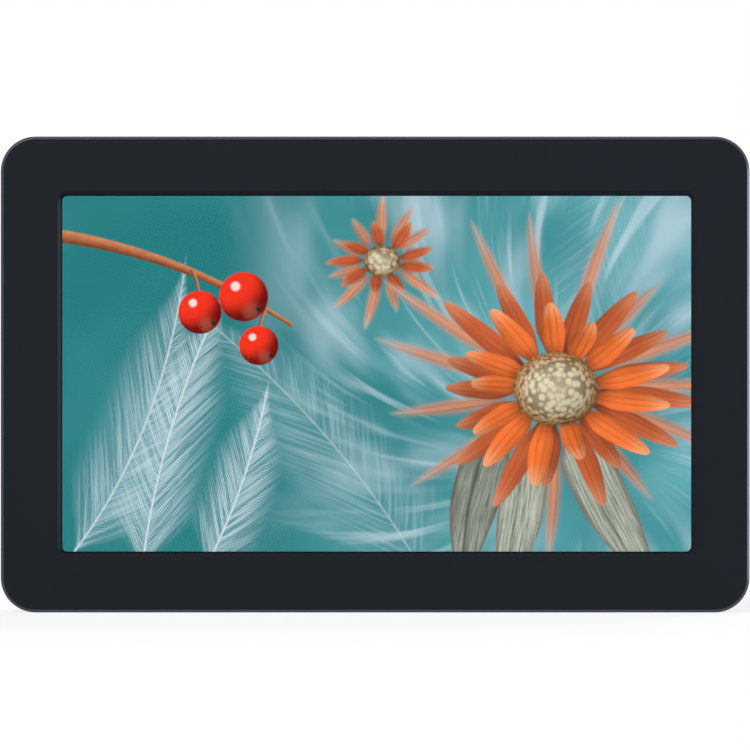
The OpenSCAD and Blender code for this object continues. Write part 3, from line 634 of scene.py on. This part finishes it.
    def berry(self, centre, radius):
        """A ripe berry: a lit ball with a window's highlight and a dark dry end."""
        s = self.s
        u0, v0 = self.from_point(*centre)
        u = u0 / radius
        v = v0 / radius
        r = length_of(u, v)
        up = (1.0 - r * r).most(0.0).sqrt()
        lit = (up * 0.62 + v * 0.58 - u * 0.42).most(0.0)
        skin = s.noise(s.vector(u, v, centre[0]), 5.0, 3.0, 0.6)
        colour = s.mix((0.16, 0.0, 0.0), (0.90, 0.03, 0.008), lit.smooth(0.0, 0.75))
        colour = s.tint(colour, 0.85 + skin * 0.3)
        glint = length_of(u + 0.32, v - 0.42).smooth(0.24, 0.12) * 0.85
        under = length_of(u - 0.3, v + 0.55).smooth(0.5, 0.1) * 0.22
        colour = s.mix(colour, (1.0, 0.86, 0.8), glint)
        colour = s.mix(colour, (0.8, 0.25, 0.12), under)
        tuft = length_of(u - 0.62, v + 0.5) + skin * 0.12
        colour = s.mix(colour, (0.02, 0.012, 0.01), tuft.smooth(0.2, 0.14))
        self.lay(colour, r.smooth(1.0, 0.96))

    def shown(self, wide, high, corner):
        """The panel, lit up to its picture's edge, with a black border round it."""
        s = self.s
        past_x = (abs(self.x) - (wide / 2 - corner)).most(0.0)
        past_y = (abs(self.y) - (high / 2 - corner)).most(0.0)
        lit = length_of(past_x, past_y).smooth(corner + 0.04, corner - 0.04)
        colour = s.mix((0.0, 0.0, 0.0), self.paint, lit)
        panel = {
            "Base Color": (0.002, 0.002, 0.002), "Roughness": 0.4, "Specular IOR Level": 0.0,
            "Emission Color": colour, "Emission Strength": 1.0,
        }
        return s.node("ShaderNodeBsdfPrincipled", None, panel)


ORANGE = ((0.16, 0.025, 0.006), (0.80, 0.16, 0.03), (0.92, 0.42, 0.20))
RUST = ((0.10, 0.02, 0.01), (0.50, 0.10, 0.03), (0.66, 0.27, 0.14))
FADED = ((0.34, 0.12, 0.07), (0.60, 0.26, 0.15), (0.60, 0.50, 0.46))


def grassy_side(p):
    """The left of the picture: feather grass, and berries on a twig."""
    p.backdrop()
    p.haze()
    p.feather((12.0, -44.0), 118.0, 0.003, 76.0, 14.0, 0.0, 4.0, 0.7)
    p.feather((-60.0, -36.0), 52.0, 0.0050, 62.0, 11.0, 0.6, 21.0)
    p.feather((-46.0, -40.0), 84.0, -0.0032, 60.0, 10.0, 1.0, 33.0)
    p.feather((-34.0, -39.0), 62.0, 0.0040, 40.0, 8.0, 1.0, 47.0)
    p.twig((-64.0, 27.2), -20.7, 51.4, 12.0, 1.5, 0.4)
    p.twig((-36.2, 20.5), -74.0, 5.0, 1.2, 0.42, 0.3)
    p.twig((-21.6, 12.6), -108.0, 4.0, -1.0, 0.38, 0.28)
    p.berry((-34.5, 12.0), 4.3)
    p.berry((-26.0, 15.0), 4.9)
    p.berry((-23.0, 5.5), 3.9)


def flowery_side(p):
    """The right of the picture: a small flower far off, and a big one over its leaves."""
    p.backdrop()
    p.haze()
    p.feather((12.0, -44.0), 118.0, 0.003, 76.0, 14.0, 0.0, 4.0, 0.7)
    p.feather((52.0, 42.0), -118.0, 0.004, 50.0, 12.0, 0.0, 9.0, 0.6)
    small = (1.0, 22.0)
    p.petals(small, 11, 0.5, 2.4, 12.5, 1.7, 1.3, FADED, 0.01)
    p.petals(small, 9, 0.1, 2.4, 10.0, 1.9, 1.0, RUST, -0.02, 0.8)
    p.disc(small, 3.6)
    bloom = (35.0, -3.0)
    p.petals(bloom, 15, 0.35, 6.0, 36.0, 2.3, 2.0, FADED, 0.004)
    p.leaf((24.0, -8.0), -0.35, 0.004, 5.0, 30.0, 0.7)
    p.leaf((38.0, -8.0), 0.28, 0.006, 5.6, 32.0, 1.0)
    p.leaf((30.0, -9.0), -0.05, -0.003, 4.6, 34.0, 1.1)
    p.petals(bloom, 17, 0.8, 6.0, 26.0, 2.5, 0.5, RUST, 0.006, 0.9)
    p.petals(bloom, 13, 0.15, 5.5, 21.0, 2.7, 0.35, ORANGE, -0.008, 0.85)
    p.disc(bloom, 8.6)


def garden_picture(name, centre, wide, high):
    """Orange flowers, berries and grass, against blurred teal, in two halves."""
    s = Shader(name)
    sides = []
    for paint in (grassy_side, flowery_side):
        picture = Picture(s, centre)
        paint(picture)
        sides.append(picture.shown(wide, high, 0.9))
    s.end(s.node("ShaderNodeMixShader", None, [picture.x.over(PICTURE_SPLIT), *sides]))
    return s.material


# ------------------------------------------------------------------ mesh helpers


def in_scene(name, data):
    """A new object with this data, in the scene."""
    made = bpy.data.objects.new(name, data)
    bpy.context.scene.collection.objects.link(made)
    return made


def new_piece(name, mesh, body, material, slot, *replaced):
    """Puts a finished mesh in the scene, on its body and in its nodes' place."""
    piece = in_scene(name, mesh)
    piece.data.materials.clear()
    piece.data.materials.append(material)
    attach(piece, body)
    if replaced:
        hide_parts(*replaced)
    return piece


def applied(source):
    """A plain mesh of an object with its modifiers worked out. The object goes."""
    depsgraph = bpy.context.evaluated_depsgraph_get()
    mesh = bpy.data.meshes.new_from_object(source.evaluated_get(depsgraph))
    bpy.data.objects.remove(source)
    return mesh


def mesh_from(name, edit):
    """A mesh of an edited shape. The edited shape goes."""
    mesh = bpy.data.meshes.new(name)
    edit.to_mesh(mesh)
    edit.free()
    return mesh


def as_mesh(name, edit, sharp_over=35.0):
    """Turns an edited shape into a mesh that is smooth but for its sharp edges."""
    bmesh.ops.recalc_face_normals(edit, faces=edit.faces)
    mesh = mesh_from(name, edit)
    mesh.shade_smooth()
    mesh.set_sharp_from_angle(angle=math.radians(sharp_over))
    return mesh


def merged(node):
    """A node's shape as an editable copy, with its loose triangles joined up."""
    edit = bmesh.new()
    edit.from_mesh(bpy.data.objects[node].data)
    bmesh.ops.remove_doubles(edit, verts=edit.verts, dist=SAME_POINT)
    return edit


def closed_ring(nodes):
    """The mitred rails as one ring, without the faces at which they meet."""
    edit = bmesh.new()
    for node in nodes:
        edit.from_mesh(bpy.data.objects[node].data)
    bmesh.ops.remove_doubles(edit, verts=edit.verts, dist=MITRE_GAP)
    slant = math.sqrt(0.5)
    mitres = [
        face for face in edit.faces
        if abs(face.normal.y) < 0.001 and abs(abs(face.normal.x) - slant) < 0.002
    ]
    bmesh.ops.delete(edit, geom=mitres, context="FACES")
    return edit


def rounded(name, edit, width):
    """An edited shape with its sharp edges broken to a small radius."""
    flat = math.radians(0.6)
    bmesh.ops.dissolve_limit(edit, angle_limit=flat, verts=edit.verts, edges=edit.edges)
    mesh = mesh_from(name + "_rounded", edit)
    holder = in_scene(name + "_holder", mesh)
    bevel = holder.modifiers.new("edges", "BEVEL")
    bevel.width = width
    bevel.segments = 2
    bevel.limit_method = "ANGLE"
    bevel.angle_limit = math.radians(32.0)
    even = holder.modifiers.new("even", "WEIGHTED_NORMAL")
    even.mode = "FACE_AREA"
    even.weight = 100
    mesh.shade_smooth()
    return applied(holder)


def soft_edged(name, node, width, body, material, slot):
    """A copy of a node with soft edges, in the node's place."""
    new_piece(name, rounded(node, merged(node), width), body, material, slot, node)


def solids_of(node):
    """The box of each separate solid in a node, from left to right."""
    edit = merged(node)
    left = set(edit.verts)
    boxes = []
    while left:
        group = [left.pop()]
        for vert in group:
            near = {edge.other_vert(vert) for edge in vert.link_edges} & left
            left -= near
            group.extend(near)
        places = [vert.co.copy() for vert in group]
        lo = Vector([min(place[i] for place in places) for i in range(3)])
        hi = Vector([max(place[i] for place in places) for i in range(3)])
        boxes.append((lo, hi))
    edit.free()
    return sorted(boxes, key=lambda box: tuple(box[0]))


def skin(edit, rings):
    """Faces from each ring of points to the next. A ring of one point is a tip."""
    for low, high in zip(rings, rings[1:]):
        for i in range(max(len(low), len(high))):
            a, b, c, d = i % len(low), (i + 1) % len(low), (i + 1) % len(high), i % len(high)
            corners = dict.fromkeys([low[a], low[b], high[c], high[d]])
            edit.faces.new(list(corners))


def between(edit, first, last):
    """A solid between two outlines of points."""
    edit.faces.new(first)
    edit.faces.new(last[::-1])
    for i in range(len(first)):
        edit.faces.new((first[i], first[i - 1], last[i - 1], last[i]))


def turned(profile, sides):
    """A closed shape turned about z from a profile of (radius, height) points."""
    edit = bmesh.new()
    rings = []
    for radius, height in profile:
        if radius == 0.0:
            rings.append([edit.verts.new((0.0, 0.0, height))])
            continue
        turns = [math.tau * i / sides for i in range(sides)]
        ring = [(radius * math.cos(t), radius * math.sin(t), height) for t in turns]
        rings.append([edit.verts.new(point) for point in ring])
    skin(edit, rings)
    return edit


def cut_with(name, edit, cutter):
    """One shape less another."""
    holders = []
    for part, shape in ((name, edit), (name + "_cutter", cutter)):
        bmesh.ops.recalc_face_normals(shape, faces=shape.faces)
        holders.append(in_scene(part, mesh_from(part, shape)))
    less = holders[0].modifiers.new("cut", "BOOLEAN")
    less.operation = "DIFFERENCE"
    less.solver = "EXACT"
    less.object = holders[1]
    mesh = applied(holders[0])
    bpy.data.objects.remove(holders[1])
    mesh.shade_smooth()
    mesh.set_sharp_from_angle(angle=math.radians(30.0))
    return mesh


def cross_recess(reach, wide, top, deep):
    """The tapered cross that is pressed into a screw's head, at its top."""
    edit = bmesh.new()
    rims = []
    mouth = (top + deep * 0.2, reach * 1.08, wide * 1.04)
    floor = (top - deep, reach / 2, wide * 0.8)
    for height, a, b in (mouth, floor):
        quarter = ((a, -b), (a, b), (b, b))
        corners = list(quarter)
        for _ in range(3):
            quarter = [(-y, x) for x, y in quarter]
            corners += quarter
        rims.append([edit.verts.new((x, y, height)) for x, y in corners])
    between(edit, *rims)
    return edit


# ------------------------------------------------------------------ the small parts


def screw_shape(name, head_r, head_h, shank_r, length):
    """A pan-headed cross-recessed screw. Its head's top is at z = 0 and points up."""
    edge = head_h * 0.42
    profile = [(0.0, 0.0), (head_r * 0.55, -head_h * 0.02), (head_r - edge, -head_h * 0.07)]
    for i in range(1, 5):
        a = math.pi / 2 * i / 4
        across = head_r - edge + edge * math.sin(a)
        profile.append((across, -head_h * 0.07 - edge + edge * math.cos(a)))
    profile += [(head_r, -head_h), (shank_r * 1.1, -head_h), (shank_r, -head_h - shank_r * 0.1)]
    pitch = shank_r * 0.42
    start = head_h + shank_r * 0.5
    turns = int((length - shank_r * 1.2 - start) / pitch)
    for i in range(turns):
        profile.append((shank_r, -start - pitch * i))
        profile.append((shank_r * 0.82, -start - pitch * (i + 0.5)))
    profile += [(shank_r * 0.8, -length + shank_r * 0.6), (shank_r * 0.35, -length), (0.0, -length)]
    cross = cross_recess(head_r * 0.52, head_r * 0.115, 0.0, head_h * 0.62)
    return cut_with(name, turned(profile, 32), cross)


def back_screws(name, node, shank_r, seed, finish, slot):
    """The screws of a node whose heads face the back, each turned by chance."""
    boxes = solids_of(node)
    lo, hi = boxes[0]
    head_r = (hi.x - lo.x) / 2
    shape = screw_shape(name + "_shape", head_r, 0.65 * head_r, shank_r, hi.y - lo.y)
    shape.transform(Matrix.Rotation(-math.pi / 2, 4, "X"))
    item = in_scene(name + "_item", shape)
    tops = sorted(((lo.x + hi.x) / 2, hi.y, (lo.z + hi.z) / 2) for lo, hi in boxes)
    points = bpy.data.meshes.new(name + "_places")
    points.from_pydata(tops, [], [])
    rows = Repeater(name, item=item, finish=finish, most_turn=math.tau, seed=seed)
    by_chance = {2: 0.0, 3: rows.given("most_turn"), 8: rows.given("seed")}
    settings = {"data_type": "FLOAT"}
    spin = rows.node("FunctionNodeRandomValue", settings, by_chance, 1)
    turn = rows.node("ShaderNodeCombineXYZ", None, [0.0, spin, 0.0])
    rows.at_points(rows.given("Geometry"), turn)
    mesh = rows.made_from(points)
    bpy.data.objects.remove(item)
    new_piece(name, mesh, "housing", finish, slot, node)


def contact_strip(wide, long, proud):
    """One plated contact: a thin strip along x with its front end rounded down."""
    edit = bmesh.new()
    line = [(0.0, -proud), (0.0, 0.0), (0.06 * long, proud * 0.8), (0.15 * long, proud)]
    line += [(long, proud), (long, -proud)]
    rims = [[edit.verts.new((x, y, z)) for x, z in line] for y in (-wide / 2, wide / 2)]
    between(edit, *rims)
    return edit


def contact_rows(name, low, high, count, wide, finish):
    """Contacts along both faces of a socket's tongue, which fills the box low to high."""
    pitch = (high.z - low.z - 2 * wide) / (count - 1)
    edit = contact_strip(wide, (high.x - low.x) * 0.6, 0.00003)
    edit.transform(Matrix.Rotation(math.pi / 2, 4, "X"))
    item = in_scene(name + "_item", as_mesh(name + "_strip", edit))
    start = Vector((low.x + 0.00035, low.y, low.z + wide))
    rows = Repeater(
        name, item=item, finish=finish, count=count, start=start,
        step=Vector((0.0, 0.0, pitch)), across=Vector((0.0, high.y - low.y, 0.0)),
    )
    line = {"Count": rows.given("count"), "Start Location": rows.given("start")}
    line["Offset"] = rows.given("step")
    settings = {"mode": "OFFSET", "count_mode": "TOTAL"}
    near = rows.node("GeometryNodeMeshLine", settings, line)
    moved = {"Geometry": near, "Translation": rows.given("across")}
    far = rows.node("GeometryNodeTransform", None, moved)
    both = rows.tree.nodes.new("GeometryNodeJoinGeometry")
    rows.fill(both.inputs[0], near)
    rows.fill(both.inputs[0], far)
    rows.at_points(Val(rows, both.outputs[0]))
    mesh = rows.made_from(bpy.data.meshes.new(name + "_start"))
    bpy.data.objects.remove(item)
    new_piece(name, mesh, "housing", finish, "contact_gold")


def threaded_sleeve(name, node, outwards, colour):
    """A blind mounting insert with its screw thread cut, in the place of the plain one."""
    crest_r, pitch = THREAD_CREST_R, THREAD_PITCH
    lo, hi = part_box(node)
    axis = Vector(outwards)
    reach = Vector([abs(a) for a in outwards])
    length = (hi - lo).dot(reach)
    outer_r = min((hi - lo)[i] for i in range(3) if not reach[i]) / 2
    groove = 0.00055
    floor, mouth, edge = 0.0006, 0.0006, 0.0003
    sides = 48
    rows_per_turn = 8
    edit = bmesh.new()

    def ring(radius_at, height):
        made = []
        for i in range(sides):
            t = math.tau * i / sides
            r = radius_at(t, height)
            made.append(edit.verts.new((r * math.cos(t), r * math.sin(t), height)))
        return made

    def plain(radius):
        return lambda t, height: radius

    def threaded(t, height):
        phase = (height / pitch - t / math.tau) % 1.0
        tooth = min(1.0, max(0.0, 1.35 - 3.2 * abs(phase - 0.5)))
        below = length - mouth * 0.5 - height
        fade = min(1.0, (height - floor) / pitch, max(0.0, below / (pitch * 0.3)))
        return max(crest_r + groove * tooth * fade, crest_r + height - (length - mouth))

    count = int((length - floor) / pitch * rows_per_turn)
    rings = [ring(plain(outer_r - edge), 0.0), ring(plain(outer_r), edge)]
    rings += [ring(plain(outer_r), length - edge), ring(plain(outer_r - edge), length)]
    for i in range(count + 1):
        rings.append(ring(threaded, length - (length - floor) * i / count))
    skin(edit, rings)
    edit.faces.new(rings[0][::-1])
    edit.faces.new(rings[-1])
    turn = Vector((0.0, 0.0, 1.0)).rotation_difference(axis).to_matrix().to_4x4()
    base = (lo + hi) / 2 - axis * (length / 2)
    edit.transform(Matrix.Translation(base) @ turn)
    bore_r = crest_r + groove + 0.00002
    finish = plated_insert(name + "_plating", colour, base + axis * length, outwards, bore_r)
    new_piece(name, as_mesh(name, edit, 50.0), "housing", finish, "insert_steel", node)


def coil_spring(name, middle, near, far, coil_r, wire_r, turns):
    """A compression spring along y from near to far, with its end turns closed up."""
    edit = bmesh.new()
    steps, sides = 36 * turns, 10
    rows = []
    for i in range(steps + 1):
        share = i / steps
        climb = min(1.0, max(0.0, (share * turns - 0.8) / (turns - 1.6)))
        closing = wire_r * 2 * (min(share * turns, 0.8) + max(share * turns - turns + 0.8, 0.0))
        free = far - near - 2 * wire_r - wire_r * 3.2
        y = near + wire_r + closing + free * climb
        t = math.tau * turns * share
        ring = []
        for k in range(sides):
            a = math.tau * k / sides
            r = coil_r + wire_r * math.cos(a)
            x, z = middle.x + r * math.cos(t), middle.z + r * math.sin(t)
            ring.append((x, y + wire_r * math.sin(a), z))
        rows.append([edit.verts.new(point) for point in ring])
    skin(edit, rows)
    edit.faces.new(rows[0][::-1])
    edit.faces.new(rows[-1])
    return as_mesh(name, edit)


def mouth_ring(name, centre, inner_r, outer_r, proud, finish):
    """The plated rim round the headphone socket's mouth, which faces the left."""
    thick = 0.00025
    profile = [(inner_r, -thick), (inner_r, proud * 0.4), (inner_r + proud, proud)]
    profile += [(outer_r - proud, proud), (outer_r, proud * 0.4), (outer_r, -thick)]
    edit = turned(profile + profile[:1], 48)
    bmesh.ops.remove_doubles(edit, verts=edit.verts, dist=SAME_POINT)
    edit.transform(Matrix.Translation(centre) @ Matrix.Rotation(-math.pi / 2, 4, "Y"))
    new_piece(name, as_mesh(name, edit), "housing", finish, "socket_steel")


def set_finish(node, material):
    """Gives a node that stays as it is a better material in each of its slots."""
    for slot in bpy.data.objects[node].material_slots:
        slot.material = material


# ------------------------------------------------------------------ studio


def seen_share(s):
    """1 for what the eye, a mirror or clear glass sees, and 0 for light that falls."""
    seen = s.node("ShaderNodeLightPath", out="Is Camera Ray")
    mirrored = s.node("ShaderNodeLightPath", out="Is Glossy Ray")
    through = s.node("ShaderNodeLightPath", out="Is Transmission Ray")
    return seen.most(mirrored).most(through)


def studio_paper(name, colour):
    """Pale paper that reads white, and still takes a shadow near the monitor."""
    s = Shader(name)
    at, (_, y, _) = s.place()
    pulp = s.noise(at, 400.0)
    glow = 0.79 + y.smooth(0.5, 1.4) * 0.21
    matt = s.node("ShaderNodeBsdfDiffuse", None, {"Color": s.tint(colour, 0.97 + pulp * 0.06)})
    white = s.node("ShaderNodeEmission", None, {"Color": (1.0, 1.0, 1.0), "Strength": 1.0})
    s.end(s.node("ShaderNodeMixShader", None, [seen_share(s) * glow, matt, white]))
    return s.material


def studio_sweep():
    """A floor that curves up into a wall well behind the monitor."""
    half = 3.0
    front, wall, bend, top = -3.5, 2.2, 0.8, 3.6
    steps = 16
    line = [(front, 0.0), (wall - bend, 0.0)]
    for i in range(1, steps + 1):
        a = math.pi / 2 * i / steps
        line.append((wall - bend + bend * math.sin(a), bend - bend * math.cos(a)))
    line.append((wall, top))
    edit = bmesh.new()
    rows = [[edit.verts.new((x, y, z)) for x in (-half, half)] for y, z in line]
    for low, high in zip(rows, rows[1:]):
        edit.faces.new((low[0], low[1], high[1], high[0]))
    mesh = mesh_from("studio_sweep", edit)
    mesh.shade_smooth()
    sweep = in_scene("studio_sweep", mesh)
    sweep.data.materials.append(studio_paper("studio_paper", (0.86, 0.86, 0.86)))


def studio_room(light, strength):
    """White all round to the eye, and a dim even light on the monitor."""
    world = bpy.data.worlds.new("studio_room")
    world.use_nodes = True
    room = Tree(world.node_tree)
    world.node_tree.nodes.clear()
    share = seen_share(room)
    dim = room.node("ShaderNodeBackground", None, {"Color": light, "Strength": strength})
    white = room.node("ShaderNodeBackground", None, {"Color": (1.0, 1.0, 1.0), "Strength": 1.0})
    both = room.node("ShaderNodeMixShader", None, [share, dim, white])
    room.node("ShaderNodeOutputWorld", None, {"Surface": both})
    bpy.context.scene.world = world


def soft_light(name, at, size, watts, colour=(1.0, 1.0, 1.0)):
    """A soft box that is turned towards the middle of the monitor."""
    lamp = bpy.data.lights.new(name, "AREA")
    lamp.shape = "RECTANGLE"
    lamp.size, lamp.size_y = size
    lamp.energy = watts
    lamp.color = colour
    holder = in_scene(name, lamp)
    holder.location = at
    holder.rotation_euler = (cad_middle - Vector(at)).to_track_quat("-Z", "Y").to_euler()


def front_camera(distance, shown, off_x, off_z):
    """Looks straight at the screen through a long lens. shown is the frame's width there."""
    data = bpy.data.cameras.new("front_camera")
    data.sensor_width = 36.0
    data.lens = data.sensor_width * distance / shown
    data.clip_start = 0.01
    data.clip_end = 100.0
    camera = in_scene("front_camera", data)
    camera.location = (cad_middle.x + off_x, cad_lo.y - distance, cad_middle.z + off_z)
    camera.rotation_euler = (math.radians(90.0), 0.0, 0.0)
    bpy.context.scene.camera = camera


# ------------------------------------------------------------------ the monitor


def dress_shell():
    """The rails, the bezel and the cover, with their edges broken as moulds leave them."""
    metal = anodised_frame("frame_anodised", (0.055, 0.061, 0.074))
    rails = ("top_rail", "bottom_rail", "left_rail", "right_rail")
    ring = rounded("frame_ring", closed_ring(rails), 0.00003)
    new_piece("frame_ring", ring, "housing", metal, "frame_metal", *rails)
    bezel = bezel_plastic("bezel_moulded", (0.0085, 0.0105, 0.0140))
    soft_edged("bezel_soft_edged", "front_bezel", 0.00010, "housing", bezel, "bezel_plastic")
    cover = moulded_plastic("cover_moulded", (0.020, 0.022, 0.026), 0.55, 3200.0, 0.00006, 0.3)
    soft_edged("cover_soft_edged", "rear_cover", 0.00018, "housing", cover, "cover_plastic")
    plate = moulded_plastic("plate_nylon", (0.012, 0.013, 0.015), 0.46, 3600.0, 0.00005)
    soft_edged("plate_soft_edged", "battery_plate", 0.00016, "housing", plate, "plate_plastic")


def dress_screen():
    """The touch glass, the lit cell with its picture, and its foam gasket."""
    picture_wide, picture_high = 122.85, 69.5
    set_finish("touch_glass", cover_glass("cover_glass"))
    lo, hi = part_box("lcd_cell")
    picture = garden_picture("garden_picture", (lo + hi) / 2, picture_wide, picture_high)
    set_finish("lcd_cell", picture)
    set_finish("glass_gasket", soft_rubber("gasket_foam", (0.004, 0.004, 0.0045)))


def dress_controls():
    """The power key, its light, and the battery catch."""
    grey = (0.030, 0.033, 0.038)
    lo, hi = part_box("power_button")
    top_face, symbol_r = 0.0007, 0.00095
    printed_over = Vector(((lo.x + hi.x) / 2, (lo.y + hi.y) / 2, hi.z - top_face))
    key = key_top("key_satin", grey, printed_over, symbol_r)
    soft_edged("key_soft_edged", "power_button", 0.00012, "button", key, "button_plastic")
    set_finish("light_pipe", status_light("status_light", (0.05, 0.75, 0.22)))
    catch = moulded_plastic("catch_satin", grey, 0.42, 7000.0)
    soft_edged("catch_soft_edged", "battery_latch", 0.00014, "latch", catch, "latch_plastic")
    lo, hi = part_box("latch_spring")
    flange, cup_floor, travel = 0.0033, -0.0009, 0.0024
    coil_r, wire_r, turns = 0.0021, 0.0002, 5
    steel = brushed_metal("spring_wire", (0.50, 0.50, 0.52), 0.3)
    middle = (lo + hi) / 2
    mesh = coil_spring("latch_coil", middle, cup_floor, flange, coil_r, wire_r, turns)
    coil = new_piece("latch_coil", mesh, "housing", steel, "spring_steel", "latch_spring")
    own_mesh(coil)


def dress_sockets():
    """The sockets on both sides, with their contacts, and the battery's blades."""
    half_tongue, contact_wide = 0.00035, 0.00028
    shell = (0.60, 0.60, 0.61)
    gold = brushed_metal("contact_gold", (0.80, 0.55, 0.20), 0.24)
    for node, tongue_w, count in (("video_socket", 0.0084, 10), ("data_socket", 0.0066, 12)):
        lo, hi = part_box(node)
        middle = (lo + hi) / 2
        low = Vector((lo.x + 0.0008, middle.y - half_tongue, middle.z - tongue_w / 2))
        high = Vector((hi.x, middle.y + half_tongue, middle.z + tongue_w / 2))
        slack = Vector((0.0001, 0.00001, 0.00001))
        set_finish(node, shell_with_tongue(node + "_plating", shell, low - slack, high + slack))
        contact_rows(node + "_contacts", low, high, count, contact_wide, gold)
    lo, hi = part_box("headphone_socket")
    mouth = Vector((lo.x, (lo.y + hi.y) / 2, (lo.z + hi.z) / 2))
    set_finish("headphone_socket", moulded_plastic("jack_black", (0.010, 0.010, 0.011), 0.38))
    nickel = brushed_metal("rim_nickel", (0.62, 0.60, 0.56), 0.22, (1.0, 8.0, 8.0))
    inner_r, outer_r, proud = 0.00182, 0.00238, 0.00008
    mouth_ring("headphone_rim", mouth, inner_r, outer_r, proud, nickel)
    lo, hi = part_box("power_outlet")
    black, brass, pin_r = (0.010, 0.010, 0.011), (0.52, 0.36, 0.14), 0.00068
    outlet = socket_with_pin("outlet_black", black, brass, (lo + hi) / 2, pin_r)
    set_finish("power_outlet", outlet)
    soft_edged("blades_soft_edged", "battery_contacts", 0.00012, "housing", gold, "contact_gold")


def dress_fixings():
    """Screws and threaded inserts."""
    black = brushed_metal("screw_black", (0.030, 0.030, 0.032), 0.4)
    zinc = brushed_metal("screw_zinc", (0.52, 0.52, 0.53), 0.3)
    back_screws("housing_screw_set", "housing_screws", 0.00098, 11, black, "black_screw_steel")
    back_screws("plate_screw_set", "battery_plate_screws", 0.00078, 23, zinc, "small_screw_steel")
    for node in ("spreader_screws", "board_screws", "backlight_tray"):
        set_finish(node, zinc)
    places = {"bottom": (0.0, 0.0, -1.0), "top": (0.0, 0.0, 1.0), "side": (1.0, 0.0, 0.0)}
    for side, outwards in places.items():
        name = side + "_insert"
        threaded_sleeve(name + "_threaded", name, outwards, (0.36, 0.35, 0.33))


def dress_inside():
    """What is closed in: the board, its parts, the backlight and the cables."""
    chip = moulded_plastic("chip_epoxy", (0.014, 0.014, 0.016), 0.5)
    board = circuit_board("board_mask")
    amber = amber_film("ribbon_film")
    clear = clear_plastic("guide_acrylic", (0.9, 0.95, 0.95))
    white = moulded_plastic("white_film", (0.8, 0.8, 0.78), 0.6)
    finishes = {
        chip: ("processor_chip", "memory_chips", "board_components", "power_switch"),
        board: ("main_board", "button_board"),
        amber: ("display_ribbon", "touch_ribbon", "button_ribbon"),
        clear: ("light_guide",),
        white: ("diffuser_sheet", "led_strip"),
        brushed_metal("spreader_aluminium", (0.62, 0.64, 0.66), 0.34): ("heat_spreader",),
        moulded_plastic("connector_nylon", (0.62, 0.57, 0.44), 0.5): ("board_connectors",),
        soft_rubber("pad_silicone", (0.25, 0.30, 0.38)): ("thermal_pad",),
        soft_rubber("lead_insulation", (0.40, 0.03, 0.02)): ("battery_leads",),
    }
    for finish, nodes in finishes.items():
        for node in nodes:
            set_finish(node, finish)


dress_shell()
dress_screen()
dress_controls()
dress_sockets()
dress_fixings()
dress_inside()

PIXEL = 0.000194926  # the size of one pixel of the picture at the front face
PICTURE_WIDTH = 750 * PIXEL
CAMERA_DISTANCE = 1.5
studio_sweep()
studio_room((0.9, 0.95, 1.0), 0.3)
soft_light("front_key", (-0.7, -1.4, 1.3), (0.9, 0.9), 33.0)
soft_light("right_strip", (0.88, -0.15, 0.09), (1.2, 0.16), 4.6, (0.78, 0.87, 1.0))
soft_light("back_fill", (0.5, 1.2, 1.0), (0.8, 0.8), 14.0)
front_camera(CAMERA_DISTANCE, PICTURE_WIDTH, -0.15 * PIXEL, -0.5 * PIXEL)

bpy.context.scene.view_settings.view_transform = "Standard"
